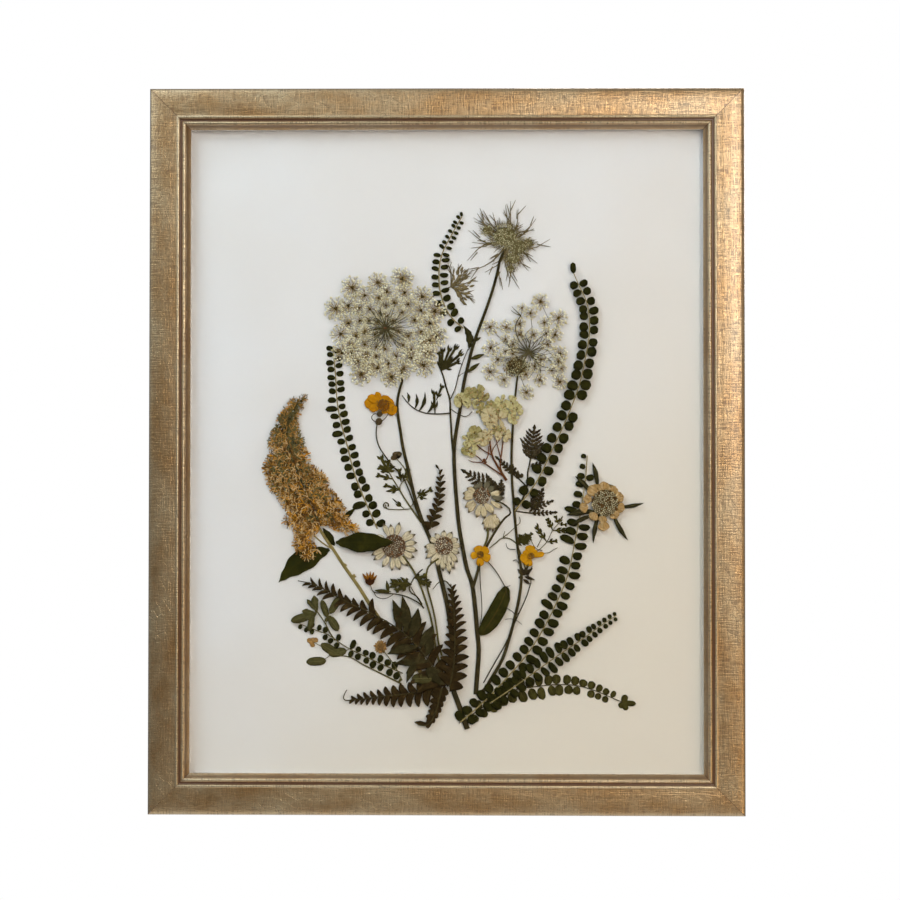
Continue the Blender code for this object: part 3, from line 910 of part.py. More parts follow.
def make_sprigs():
    plant("round_leaf_sprig", 2, PALE_GREEN,
          [strip([(-103, -123), (-98.5, -129), (-94, -136), (-91, -142), (-87, -148)], 1.4),
           strip([(-94, -136), (-92.5, -129), (-88, -131)], 1.1), strip([(-101, -126), (-107, -129)], 1.2),
           strip([(-92.6, -129), (-90.5, -125)], 1.1),
           blade((-101.5, -126), (-103.5, -113), 4, point=1.8), blade((-93, -130), (-97.5, -116.5), 3.4,
                                                                      point=1.4),
           blade((-91, -127), (-83, -113.5), 3.6, point=1.4), blade((-91.5, -129.5), (-84.5, -140.5), 3.6,
                                                                    point=1.4),
           blade((-101.5, -127.5), (-114.5, -126), 2.8, point=1.4),
           blade((-104.5, -128), (-122, -133.5), 3.2, point=1.8),
           blade((-104, -126.5), (-108, -142), 3, point=1.2)])
    dark_spine = [(-115, -135), (-108, -138.5), (-101, -140.5), (-93, -143.5), (-87, -148), (-80, -152.5),
                  (-72, -157), (-62, -161.2), (-52, -165), (-43, -169), (-34, -174)]
    dark_leaves = [(-117, -137, 2.4, 1.7), (-112, -142, 1.8, 1.6), (-108, -142.5, 2, 1.7),
                   (-103, -136.5, 2.2, 2), (-102.6, -143.5, 2.4, 2), (-97.6, -136.5, 2.4, 2),
                   (-92.5, -138.8, 2.6, 2.4), (-93.2, -148.6, 2.4, 2.6), (-87.2, -152.5, 2.4, 2.4),
                   (-81, -146.6, 2.8, 2.3), (-76, -149, 3, 2.4), (-75, -158.4, 2.4, 2.5),
                   (-69, -161.8, 2.6, 2.7), (-63.6, -154.8, 4, 2.8), (-62.8, -165, 3, 2.5),
                   (-50, -161.2, 2.6, 2.6), (-49.3, -169.6, 3, 2.7), (-43.6, -164.6, 2.6, 2.6),
                   (-37, -166.6, 2.8, 2.6)]
    plant("dark_leaf_sprig", 1, DARK_GREEN, button_frond(dark_spine, dark_leaves, 1.0))
    plant("long_leaf_sprig", 0, (0.11, 0.1, 0.05),
          [strip([(-104, -149.5), (-96, -154), (-90, -158), (-83, -160), (-76, -161), (-66, -166.5),
                  (-56, -171.5), (-46, -176.5), (-35, -182)], 0.9, 1.5),
           [(-97, -150.5), (-92, -152), (-87, -155), (-79, -155.5), (-78.5, -158), (-84, -160.2),
            (-91, -158.5), (-96, -155)],
           [(-109, -147.5), (-104, -146), (-100.5, -147), (-102.5, -151), (-105, -153.5), (-107, -150)]])
    plant("tan_flower", 2, (0.45, 0.3, 0.12),
          [circle(-51.3, -153, 4.9, 10), strip([(-50, -155), (-44, -162.5), (-39, -170), (-34.5, -179)],
                                               1.1)],
          [circle(-51, -153, 2, 8)], 2)


def make_centre_twig():
    plant("centre_twig", 3, LEAF_GREEN,
          [strip([(-18.5, -92), (-22, -96), (-27.5, -103), (-28.5, -109), (-23, -113.5), (-19, -120)], 1.6,
                 1.4),
           strip([(-59.5, -104), (-57, -110), (-50, -111), (-42, -111.6), (-34, -112.5), (-27, -115.5),
                  (-20, -120), (-17.5, -123)], 1.1, 1.6),
           strip([(-57, -110), (-54, -114), (-47.5, -115.2), (-41, -111.8)], 0.9),
           blade((-56, -109), (-43, -110), 1.6),
           blade((-27, -104), (-44.5, -103.5), 3.6), blade((-29, -103), (-36, -98.5), 1.5),
           blade((-29, -105), (-40, -109.5), 2), blade((-24.5, -99), (-12, -104.5), 2.6),
           blade((-25, -99), (-16, -97.5), 1.8), blade((-45, -111), (-46.8, -101), 1.6),
           blade((-60, -105), (-63.5, -95), 1.8, point=1), blade((-59.8, -105), (-59.5, -94.8), 1.8,
                                                                 point=1),
           blade((-59.5, -105), (-56, -95), 1.8, point=1), circle(-59.8, -100.8, 3.8, 8)],
          [circle(-59.8, -101.2, 2.8, 8)], 2)


def build():
    remove_old_objects()
    gilt = make_material("gilt_wood", (0.4, 0.24, 0.09), 0.38, 0.55)
    steel = make_material("zinc_steel", (0.55, 0.56, 0.57), 0.35, 1.0)
    felt = make_material("bumper_felt", (0.12, 0.11, 0.1), 0.95)
    make_rails(gilt)
    make_sheet("glass", SHEET_WIDTH, SHEET_HEIGHT, GLASS_FRONT, GLASS_THICKNESS,
               make_material("clear_glass", (0.95, 0.97, 0.96), 0.02, 0.0, 1.0))
    make_spacer(make_material("spacer_board", (0.75, 0.72, 0.66), 0.9))
    make_sheet("card", SHEET_WIDTH, SHEET_HEIGHT, CARD_FRONT, CARD_THICKNESS,
               make_material("card_paper", (0.7, 0.65, 0.57), 0.9))
    make_sheet("backing_board", SHEET_WIDTH, SHEET_HEIGHT, BACKING_FRONT, BACKING_THICKNESS,
               make_material("hardboard", (0.22, 0.13, 0.07), 0.75))
    make_points(steel)
    make_hanger(steel)
    make_nails(steel)
    make_bumpers(felt)
    make_lace_umbels()
    make_tall_stems()
    make_lace_bud()
    make_leafy_twig_left()
    make_button_ferns()
    make_goldenrod()
    make_orange_flower()
    make_cut_leaves_left()
    make_ferns()
    make_hydrangea()
    make_dark_leaves_right()
    make_masterworts()
    make_buttercups()
    make_scabious()
    make_lance_leaf()
    make_sprigs()
    make_centre_twig()


build()
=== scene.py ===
import math
import random

import bmesh
import bpy
from mathutils import Matrix, Vector, noise


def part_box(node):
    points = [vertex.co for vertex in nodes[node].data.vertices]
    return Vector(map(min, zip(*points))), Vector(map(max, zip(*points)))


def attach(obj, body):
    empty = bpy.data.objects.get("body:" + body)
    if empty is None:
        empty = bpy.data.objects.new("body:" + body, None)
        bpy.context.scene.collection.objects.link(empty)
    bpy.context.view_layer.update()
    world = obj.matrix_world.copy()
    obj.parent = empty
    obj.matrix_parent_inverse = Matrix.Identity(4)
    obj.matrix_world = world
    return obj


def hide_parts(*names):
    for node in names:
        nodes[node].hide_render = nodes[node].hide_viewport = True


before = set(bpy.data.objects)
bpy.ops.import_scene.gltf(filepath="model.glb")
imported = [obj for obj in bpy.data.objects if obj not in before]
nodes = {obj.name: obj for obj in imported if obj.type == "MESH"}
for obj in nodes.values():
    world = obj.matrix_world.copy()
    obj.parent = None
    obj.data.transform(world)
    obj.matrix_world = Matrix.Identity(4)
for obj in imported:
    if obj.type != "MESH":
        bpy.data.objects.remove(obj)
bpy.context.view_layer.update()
scene = bpy.context.scene
scene.view_settings.view_transform = "Standard"
print("frame loaded:", len(nodes), "nodes")

mm = 0.001
cardCentre = -267.0        # height of the middle of the card, millimetres
firstLayer = 8.8           # from the wall to the back of the lowest plant layer
layerStep = 0.8
outerSize = (464.0, 566.0, 22.6)
goldenAngle = 2.39996
wiggleScale = 0.13


# Small helpers for meshes and node trees

def makeMesh(bm, name):
    mesh = bpy.data.meshes.new(name)
    bm.to_mesh(mesh)
    bm.free()
    return mesh


def addObject(name, data):
    made = bpy.data.objects.new(name, data)
    scene.collection.objects.link(made)
    return made


# Colours are given as they look on a screen, 0 to 255
def tone(colour):
    linear = []
    for value in colour:
        share = value / 255
        linear.append(share / 12.92 if share <= 0.04045 else ((share + 0.055) / 1.055) ** 2.4)
    return (*linear, 1.0)


def addNode(tree, kind, **settings):
    node = tree.nodes.new(kind)
    place = len(tree.nodes)
    node.location = (place % 8 * 200, place // 8 * -300)        # in rows, so that none lies on another
    for name, value in settings.items():
        setattr(node, name, value)
    return node


# Sets each named or numbered input to a value, or links it to another node's output
def feed(tree, node, values):
    for name, value in values.items():
        if isinstance(value, bpy.types.NodeSocket):
            tree.links.new(value, node.inputs[name])
        else:
            node.inputs[name].default_value = value
    return node


def mathNode(tree, kind, *values, clamp=False):
    node = addNode(tree, "ShaderNodeMath", operation=kind, use_clamp=clamp)
    return feed(tree, node, dict(enumerate(values))).outputs[0]


def scaled(tree, value, factor, added=0.0, clamp=False):
    return mathNode(tree, "MULTIPLY_ADD", value, factor, added, clamp=clamp)


def larger(tree, first, second):
    return mathNode(tree, "MAXIMUM", first, second)


def blendColours(tree, share, first, second):
    node = addNode(tree, "ShaderNodeMix", data_type="RGBA")
    return feed(tree, node, {0: share, 6: first, 7: second}).outputs[2]        # its colour sockets


def rangeNode(tree, value, low, high, outLow=0.0, outHigh=1.0):
    node = addNode(tree, "ShaderNodeMapRange", interpolation_type="SMOOTHSTEP")
    return feed(tree, node, {"Value": value, "From Min": low, "From Max": high, "To Min": outLow,
                             "To Max": outHigh}).outputs["Result"]


def stretched(tree, vector, scale):
    node = addNode(tree, "ShaderNodeMapping")
    return feed(tree, node, {"Vector": vector, "Scale": scale}).outputs["Vector"]


# The scale is a number, or one number for each axis
def noiseNode(tree, vector, scale, detail=3.0, roughness=0.5, distortion=0.0):
    if isinstance(scale, tuple):
        vector, scale = stretched(tree, vector, scale), 1.0
    return feed(tree, addNode(tree, "ShaderNodeTexNoise"), {
        "Vector": vector, "Scale": scale, "Detail": detail, "Roughness": roughness,
        "Distortion": distortion}).outputs["Fac"]


def splitAxes(tree, vector):
    return feed(tree, addNode(tree, "ShaderNodeSeparateXYZ"), {0: vector}).outputs


def uvMap(tree):
    return addNode(tree, "ShaderNodeUVMap", uv_map="UVMap").outputs["UV"]


def objectPlace(tree):
    return addNode(tree, "ShaderNodeTexCoord").outputs["Object"]


def attribute(tree, name):
    return addNode(tree, "ShaderNodeAttribute", attribute_name=name).outputs["Fac"]


# Each input's label and its usual value, a colour or a number
def startGroup(name, inputs, outputs=("Color", "Height")):
    group = bpy.data.node_groups.new(name, "ShaderNodeTree")
    for label, value in inputs.items():
        kind = "NodeSocketColor" if isinstance(value, tuple) else "NodeSocketFloat"
        group.interface.new_socket(name=label, in_out="INPUT", socket_type=kind).default_value = value
    for label in outputs:
        kind = "NodeSocketColor" if label == "Color" else "NodeSocketFloat"
        group.interface.new_socket(name=label, in_out="OUTPUT", socket_type=kind)
    return group, addNode(group, "NodeGroupInput").outputs, addNode(group, "NodeGroupOutput")


plain = (0.5, 0.5, 0.5, 1.0)


# Dried plant tissue: mottled between two tones, with darker rims and tips, a midrib and fine veins
# along the leaf. It reads the leaf's own UV map.
def makeTissueGroup():
    group, given, out = startGroup("driedTissue", {
        "Deep": plain, "Pale": plain, "Rim": plain, "Vein": plain, "Rim Share": 0.4, "Vein Share": 0.4,
        "Tip Share": 0.0, "Fine Veins": 9.0, "Mottle Scale": 260.0})
    axes = splitAxes(group, uvMap(group))
    across = mathNode(group, "ABSOLUTE", scaled(group, axes["X"], 2.0, -1.0))
    coarse = noiseNode(group, objectPlace(group), given["Mottle Scale"], 4.0, 0.6, 0.3)
    fine = noiseNode(group, objectPlace(group), 1400.0, 3.0, 0.6)
    share = scaled(group, fine, 0.5, scaled(group, coarse, 1.5, -0.72))
    mixed = blendColours(group, mathNode(group, "SUBTRACT", share, 0.2, clamp=True), given["Deep"],
                         given["Pale"])
    rim = scaled(group, rangeNode(group, across, 0.72, 1.0), given["Rim Share"])
    tip = scaled(group, rangeNode(group, axes["Y"], 0.66, 0.88), given["Tip Share"])
    mixed = blendColours(group, larger(group, rim, tip), mixed, given["Rim"])
    wave = mathNode(group, "MULTIPLY", scaled(group, across, -0.35, 0.5),
                    scaled(group, given["Fine Veins"], 2 * math.pi))
    side = scaled(group, rangeNode(group, mathNode(group, "SINE", wave), 0.9, 1.0), 0.5)
    middle = rangeNode(group, across, 0.1, 0.03)
    veins = scaled(group, larger(group, middle, side), given["Vein Share"])
    feed(group, out, {"Color": blendColours(group, veins, mixed, given["Vein"]),
                      "Height": scaled(group, veins, 0.5, mathNode(group, "ADD", coarse, fine))})
    return group


# Stems, filaments and seeds have no leaf map: mottled by place and by piece
def makeFibreGroup():
    group, given, out = startGroup("plantFibre", {
        "Deep": plain, "Pale": plain, "Fleck": plain, "Fleck Share": 0.2, "Mottle Scale": 200.0,
        "Vary Share": 0.7})
    coarse = noiseNode(group, objectPlace(group), given["Mottle Scale"], 4.0, 0.6)
    fine = noiseNode(group, objectPlace(group), 1700.0, 2.0, 0.6)
    share = scaled(group, attribute(group, "vary"), given["Vary Share"], scaled(group, coarse, 1.3, -0.5),
                   clamp=True)
    mixed = blendColours(group, share, given["Deep"], given["Pale"])
    fleck = scaled(group, rangeNode(group, fine, 0.56, 0.7), given["Fleck Share"])
    feed(group, out, {"Color": blendColours(group, fleck, mixed, given["Fleck"]),
                      "Height": mathNode(group, "ADD", coarse, fine)})
    return group


# Old gold leaf: brown patina in the hollows, ridges, beads and rounded edges painted brighter as a highlight,
# streaks along the rail, cracks, specks and the print of a fine cloth. It reads the rail's own UV map, in
# metres along and across.
def makeGildingGroup():
    group, given, out = startGroup("oldGilding", {
        "Leaf": tone((208, 156, 90)), "Bright Leaf": tone((252, 230, 186)), "Patina": tone((104, 60, 28)),
        "Speck": tone((62, 34, 16)), "Patina Share": 0.25, "Speck Share": 0.75, "Weave Share": 0.5,
    }, ("Color", "Roughness", "Metallic", "Height"))
    surface = uvMap(group)
    relief = attribute(group, "relief")
    streak = noiseNode(group, surface, (60, 700, 1), 4.0, 0.65)
    cloud = noiseNode(group, surface, (18, 30, 1), 4.0, 0.6)
    grain = noiseNode(group, surface, (900, 1100, 1), 2.0, 0.7)
    threads = [rangeNode(group, noiseNode(group, surface, size, 2.0, 0.6), 0.36, 0.64)
               for size in ((90, 900, 1), (900, 90, 1))]
    weave = mathNode(group, "ADD", *threads)
    cracks = feed(group, addNode(group, "ShaderNodeTexVoronoi", feature="DISTANCE_TO_EDGE"),
                  {"Scale": 1.0, "Vector": stretched(group, surface, (110, 150, 1))})
    crack = scaled(group, rangeNode(group, cracks.outputs["Distance"], 0.03, 0.008),
                   rangeNode(group, cloud, 0.5, 0.66))
    tarnish = scaled(group, streak, 0.6, scaled(group, cloud, 0.55))
    tarnish = scaled(group, rangeNode(group, tarnish, 0.42, 0.8), given["Patina Share"])
    leaf = blendColours(group, rangeNode(group, cloud, 0.2, 0.9), given["Leaf"], given["Bright Leaf"])
    # Painted highlight: ridges, beads and rounded edges marked above zero are given the bright leaf
    leaf = blendColours(group, rangeNode(group, relief, 0.1, 1.0), leaf, given["Bright Leaf"])
    # Marks below zero: brown patina in the grooves and the mitre line, and painted shade on the slope down to
    # the card
    hollow = scaled(group, rangeNode(group, relief, 0.0, -1.0), 0.92)
    sunk = scaled(group, rangeNode(group, weave, 1.0, 0.3), given["Weave Share"])
    # This mask holds the tarnish, the cloth print, the patina and the painted shade on the slope
    wearAndShade = larger(group, larger(group, hollow, tarnish), sunk)
    speck = scaled(group, rangeNode(group, grain, 0.63, 0.72), given["Speck Share"])
    dark = larger(group, speck, scaled(group, crack, 0.4))
    mixed = blendColours(group, wearAndShade, leaf, given["Patina"])
    ripple = mathNode(group, "SUBTRACT", scaled(group, streak, 0.5), crack)
    feed(group, out, {"Color": blendColours(group, dark, mixed, given["Speck"]),
                      "Roughness": scaled(group, wearAndShade, 0.3, 0.3),
                      "Metallic": scaled(group, larger(group, wearAndShade, dark), -0.45, 0.84),
                      "Height": scaled(group, weave, 0.5, ripple)})
    return group


# Pressed fibres of paper and board, with painted shade that makes them darker and warmer towards the bottom
# right
def makeBoardGroup():
    group, given, out = startGroup("boardFibre", {
        "Base": plain, "Toned": plain, "Fibre": plain, "Painted Shade": plain, "Fibre Share": 0.15,
        "Cloud Scale": 7.0, "Fibre Scale": 900.0, "Painted Shade Share": 0.0})
    place = objectPlace(group)
    axes = splitAxes(group, place)
    cloud = noiseNode(group, place, given["Cloud Scale"], 3.0, 0.5)
    fibre = noiseNode(group, place, given["Fibre Scale"], 4.0, 0.7, 1.2)
    mixed = blendColours(group, rangeNode(group, cloud, 0.35, 0.65), given["Base"], given["Toned"])
    # Painted shade: a darker, warmer colour is laid on more and more towards the bottom right
    lower = rangeNode(group, scaled(group, axes["Z"], -1.0, axes["X"]), 0.12, 0.62)
    mixed = blendColours(group, scaled(group, lower, given["Painted Shade Share"]), mixed, given["Painted Shade"])
    share = scaled(group, rangeNode(group, fibre, 0.5, 0.72), given["Fibre Share"])
    feed(group, out, {"Color": blendColours(group, share, mixed, given["Fibre"]), "Height": fibre})
    return group


tissueGroup = makeTissueGroup()
fibreGroup = makeFibreGroup()
gildingGroup = makeGildingGroup()
boardGroup = makeBoardGroup()


def plainMaterial(name, values):
    material = bpy.data.materials.new(name)
    material.use_nodes = True
    feed(material.node_tree, material.node_tree.nodes["Principled BSDF"], values)
    return material


# bump is the strength and the height, in metres, of the surface's fine relief
def finishMaterial(name, group, values, bump, shaderValues):
    material = plainMaterial(name, shaderValues)
    tree = material.node_tree
    shader = tree.nodes["Principled BSDF"]
    effect = feed(tree, addNode(tree, "ShaderNodeGroup", node_tree=group), {
        label: tone(value) if isinstance(value, tuple) else value for label, value in values.items()})
    relief = feed(tree, addNode(tree, "ShaderNodeBump"), {
        "Strength": bump[0], "Distance": bump[1], "Height": effect.outputs["Height"]})
    feed(tree, shader, {"Normal": relief.outputs["Normal"], "Base Color": effect.outputs["Color"]})
    for label in ("Roughness", "Metallic"):
        if label in effect.outputs:
            tree.links.new(effect.outputs[label], shader.inputs[label])
    return material


plantShares = {"rimShare": "Rim Share", "veinShare": "Vein Share", "tipShare": "Tip Share",
               "fineVeins": "Fine Veins", "fleckShare": "Fleck Share", "mottle": "Mottle Scale",
               "vary": "Vary Share"}


def plantFinish(name, group, colours, roughness, values):
    given = {plantShares[key]: value for key, value in values.items()}
    return finishMaterial(name, group, given | colours, (0.5, 0.0004),
                          {"Roughness": roughness, "Specular IOR Level": 0.06})


def tissue(name, deep, pale, rim, vein, **values):
    return plantFinish(name, tissueGroup, {"Deep": deep, "Pale": pale, "Rim": rim, "Vein": vein}, 0.82,
                       values)


def fibre(name, deep, pale, fleck, **values):
    return plantFinish(name, fibreGroup, {"Deep": deep, "Pale": pale, "Fleck": fleck}, 0.84, values)


def boardFinish(name, base, toned, fleck, fleckShare, scales, bump, shaderValues,
                paintedShade=(128, 128, 128), paintedShadeShare=0.0):
    return finishMaterial(name, boardGroup, {
        "Base": base, "Toned": toned, "Fibre": fleck, "Fibre Share": fleckShare, "Cloud Scale": scales[0],
        "Fibre Scale": scales[1], "Painted Shade": paintedShade, "Painted Shade Share": paintedShadeShare}, bump, shaderValues)


def dressNodes(material, *names):
    for name in names:
        for place in nodes[name].material_slots:
            place.material = material


def addPiece(name, bm, materials, replaced):
    for face in bm.faces:
        face.smooth = True
    mesh = makeMesh(bm, name)
    for material in materials:
        mesh.materials.append(material)
    piece = addObject(name, mesh)
    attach(piece, "root")
    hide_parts(replaced)
    return piece


# Rails: the moulding's section pushed along each side and cut to the mitre

rail = {
    # distance in from the outer edge and depth from the front; a mark below zero darkens a point with patina
    # (in the grooves, and as painted shade on the slope down to the card), above zero paints a highlight of
    # brighter leaf
    "section": [(0.0, 20.0), (0.0, 3.4), (0.9, 1.25), (2.8, 0.45), (6.5, 0.15), (11.0, 0.05), (16.5, 0.15),
                (21.4, 0.5), (22.3, 0.12), (23.4, 0.32), (24.1, 2.0), (25.4, 2.1), (26.0, 1.2), (27.2, 0.82),
                (28.3, 1.3), (29.1, 2.6), (30.6, 4.3), (32.0, 5.4), (32.0, 6.6), (28.0, 6.6), (28.0, 20.0)],
    "relief": [0, -0.2, 0.5, 0.2, 0, 0, 0, -0.25, 1, 0.8, -1, -1, -0.2, 1, 0.3, -0.7, -0.5, 0.3, -0.5, 0, 0],
    "rebate": (28.0, 6.6),      # its edge and its depth, where the wood is left bare
    "back": 20.0,
    "easing": 0.34,
    "jointGap": 0.04,
    "mitreLine": 0.5,
    "rowLength": 12.0,
    "slotGap": 0.0003,
    "sharpAngle": 0.7,
}
giltSlot, woodSlot = 0, 1


def longEdges(bm):
    return [edge for edge in bm.edges if abs(edge.verts[0].co.z - edge.verts[1].co.z) > 0.5]


def makeRail(name, side, materials):
    bm = bmesh.new()
    relief = bm.verts.layers.float.new("relief")
    surface = bm.loops.layers.uv.new("UVMap")
    horizontal = side[1] != 0
    half = (outerSize[0] if horizontal else outerSize[1]) / 2
    reach = (outerSize[1] if horizontal else outerSize[0]) / 2
    # the section is drawn with x as the distance in, y as the depth and z along the rail
    ring = []
    for (inward, depth), height in zip(rail["section"], rail["relief"]):
        vert = bm.verts.new((inward, depth, 0.0))
        vert[relief] = height
        ring.append(vert)
    edges = [bm.edges.new((a, b)) for a, b in zip(ring, ring[1:] + ring[:1])]
    grown = bmesh.ops.extrude_edge_only(bm, edges=edges)
    far = [item for item in grown["geom"] if isinstance(item, bmesh.types.BMVert)]
    bmesh.ops.translate(bm, verts=far, vec=(0, 0, 1.0))
    edge, depth = rail["rebate"]
    for face in bm.faces:
        middle = face.calc_center_median()
        bare = middle.y > depth - 0.05 and middle.x > edge - 0.1 or middle.y > rail["back"] - 0.1
        face.material_index = woodSlot if bare else giltSlot
    for vert in far:
        near = min(ring, key=lambda other: (other.co.xy - vert.co.xy).length)
        vert[relief] = near[relief]
    bmesh.ops.bevel(bm, geom=longEdges(bm), offset=rail["easing"], offset_type="OFFSET", affect="EDGES",
                    segments=3, profile=0.5, material=-1, clamp_overlap=True)
    bmesh.ops.holes_fill(bm, edges=[edge for edge in bm.edges if len(edge.link_faces) == 1], sides=0)
    rows = int(2 * half / rail["rowLength"])
    bmesh.ops.subdivide_edges(bm, edges=longEdges(bm), cuts=rows, use_grid_fill=False)
    for vert in bm.verts:
        nearEnd = min(vert.co.z, 1 - vert.co.z)
        if nearEnd < 1e-4:
            vert[relief] = -1.0        # the mitre line gathers dirt
        elif nearEnd < 1.5 / (rows + 1):
            line = rail["mitreLine"] / (2 * half)
            vert.co.z = line if vert.co.z < 0.5 else 1 - line
    for face in bm.faces:
        if abs(face.normal.z) > 0.9:
            face.material_index = woodSlot
        for loop in face.loops:
            inward, depth, share = loop.vert.co
            across = inward + (depth if inward < 1 else 0)
            loop[surface].uv = ((2 * share - 1) * (half - inward) * mm, across * mm)
    for vert in bm.verts:
        inward, depth, share = vert.co
        along = (2 * share - 1) * (half - inward - rail["jointGap"])
        across = reach - inward
        x = side[0] * across + (along if horizontal else 0)
        z = side[1] * across + (0 if horizontal else along)
        vert.co = Vector((x, depth - outerSize[2], z + cardCentre)) * mm
    bmesh.ops.recalc_face_normals(bm, faces=bm.faces)
    for edge in bm.edges:
        edge.smooth = edge.calc_face_angle(0.0) < rail["sharpAngle"]
    cutSlot(addPiece(name + "_gilded", bm, materials, name), name.replace("rail", "point"))


# The slot that a steel point is pressed into, a little larger than the point
def cutSlot(piece, point):
    low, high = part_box(point)
    bm = bmesh.new()
    bmesh.ops.create_cube(bm, size=1.0)
    for face in bm.faces:
        face.material_index = woodSlot
    for vert in bm.verts:
        vert.co = Vector([low[axis] - rail["slotGap"] if vert.co[axis] < 0 else high[axis] + rail["slotGap"]
                          for axis in range(3)])
    mesh = makeMesh(bm, "slotCutter")
    cutter = addObject("slotCutter", mesh)
    piece.modifiers.new("slot", "BOOLEAN").object = cutter
    whole = piece.data
    piece.data = bpy.data.meshes.new_from_object(piece.evaluated_get(bpy.context.evaluated_depsgraph_get()))
    piece.modifiers.clear()
    piece.data.name = whole.name
    bpy.data.objects.remove(cutter)
    bpy.data.meshes.remove(mesh)
    bpy.data.meshes.remove(whole)


giltFinish = finishMaterial("oldGoldLeaf", gildingGroup, {}, (0.4, 0.0003), {
    "Specular IOR Level": 0.5, "Coat Weight": 1.0, "Coat Roughness": 0.3, "Coat IOR": 1.7})
woodFinish = boardFinish("bareWood", (196, 160, 112), (172, 134, 88), (132, 94, 58), 0.5, (30.0, 420.0),
                         (0.25, 0.0003), {"Roughness": 0.8})
for railName, railSide in {"rail_top": (0, 1), "rail_bottom": (0, -1), "rail_left": (-1, 0),
                           "rail_right": (1, 0)}.items():
    makeRail(railName, railSide, [giltFinish, woodFinish])
print("rails gilded")

# Sheets behind the lip

# The card's darker, warmer colour towards the bottom right is painted shade
cardLook = {"toned": (234, 232, 233), "fleck": (214, 209, 200), "fleckShare": 0.35, "scales": (6.0, 1100.0),
            "paintedShade": (231, 224, 213), "paintedShadeShare": 1.0}
dressNodes(boardFinish("cardPaper", (237, 237, 241), bump=(0.16, 0.0002),
                       shaderValues={"Roughness": 0.92, "Specular IOR Level": 0.2}, **cardLook), "card")
dressNodes(boardFinish("spacerBoard", (226, 222, 214), bump=(0.2, 0.0002), shaderValues={"Roughness": 0.9},
                       **cardLook), "spacer")
dressNodes(boardFinish("hardboard", (132, 96, 62), (112, 78, 48), (72, 48, 30), 0.7, (14.0, 800.0),
                       (0.5, 0.0004), {"Roughness": 0.75}), "backing_board")
dressNodes(plainMaterial("clearGlass", {"Base Color": (0.985, 0.995, 0.99, 1), "Roughness": 0.0, "IOR": 1.46,
                                        "Transmission Weight": 1.0}), "glass")
nodes["glass"].visible_shadow = False
print("glass and boards done")

# Hardware on the back

dressNodes(boardFinish("zincSteel", (190, 192, 194), (168, 170, 172), (120, 118, 112), 0.5, (90.0, 1500.0),
                       (0.2, 0.0001), {"Metallic": 1.0, "Roughness": 0.42}),
           "point_top", "point_bottom", "point_left", "point_right", "sawtooth_hanger", "hanger_nail_left",
           "hanger_nail_right")
dressNodes(boardFinish("bumperFelt", (66, 62, 58), (52, 50, 48), (96, 92, 86), 0.6, (200.0, 2600.0),
                       (1.0, 0.0006), {"Roughness": 1.0, "Specular IOR Level": 0.1}),
           "bumper_left", "bumper_right")
print("hardware done")

# Pressed plants. They are drawn in card millimetres, x to the right and z up from the card's middle,
# with -y as the height above the back of the piece's layer, and scaled into place at the end.

leafSheet = {
    "high": 0.66,           # how high a plain layer's piece may stand
    "lowest": 0.04,
    "thick": 0.13,
    "waveScale": (0.55, 0.4),
}


def startPlant():
    bm = bmesh.new()
    bm.loops.layers.uv.new("UVMap")
    bm.verts.layers.float.new("vary")
    return bm


def finishPlant(name, layer, bm, materials):
    bmesh.ops.recalc_face_normals(bm, faces=bm.faces)
    bmesh.ops.translate(bm, verts=bm.verts, vec=(0, -(firstLayer + layerStep * layer), cardCentre))
    bmesh.ops.scale(bm, verts=bm.verts, vec=(mm, mm, mm))
    piece = addPiece(name + "_pressed", bm, materials, name)
    print(f"  {name}: {len(piece.data.polygons)} faces")


# The point at a reach and a turn from another one
def pointAt(centre, reach, turn, squash=1.0):
    return centre[0] + reach * math.cos(turn), centre[1] + reach * math.sin(turn) * squash


# The length and the direction from one point to another
def heading(base, tip):
    length = math.dist(base, tip)
    return length, (tip[0] - base[0]) / length, (tip[1] - base[1]) / length


# The places of a spiral that fills a unit disc evenly: their number, reach and turn
def spiral(count):
    for index in range(count):
        yield index, math.sqrt((index + 0.5) / count), index * goldenAngle


# The height of a profile, a list of (share, height), with soft steps between its points
def along(profile, share):
    for (before, low), (after, high) in zip(profile, profile[1:]):
        if share <= after:
            part = (share - before) / max(after - before, 1e-6)
            part = part * part * (3 - 2 * part)
            return low + (high - low) * part
    return profile[-1][1]


# Half widths along each form of leaf
leafForms = {
    "oval": [(0, 0.22), (0.06, 0.55), (0.2, 0.88), (0.45, 1.0), (0.7, 0.97), (0.88, 0.74), (0.96, 0.45),
             (1, 0.12)],
    "lance": [(0, 0.1), (0.12, 0.5), (0.4, 1.0), (0.62, 0.88), (0.85, 0.4), (1, 0.02)],
    "narrow": [(0, 0.3), (0.3, 0.8), (0.6, 1.0), (0.85, 0.5), (1, 0.03)],
    "sickle": [(0, 1.0), (0.35, 1.0), (0.65, 0.84), (0.85, 0.56), (0.95, 0.3), (1, 0.05)],
    "bract": [(0, 0.45), (0.3, 0.85), (0.55, 1.0), (0.75, 0.72), (0.9, 0.3), (1, 0.02)],
    "petal": [(0, 0.25), (0.2, 0.6), (0.5, 0.93), (0.75, 1.0), (0.9, 0.8), (0.97, 0.5), (1, 0.15)],
    "lobe": [(0, 0.3), (0.3, 0.7), (0.55, 0.8), (0.7, 1.0), (0.85, 0.7), (1, 0.04)],
}


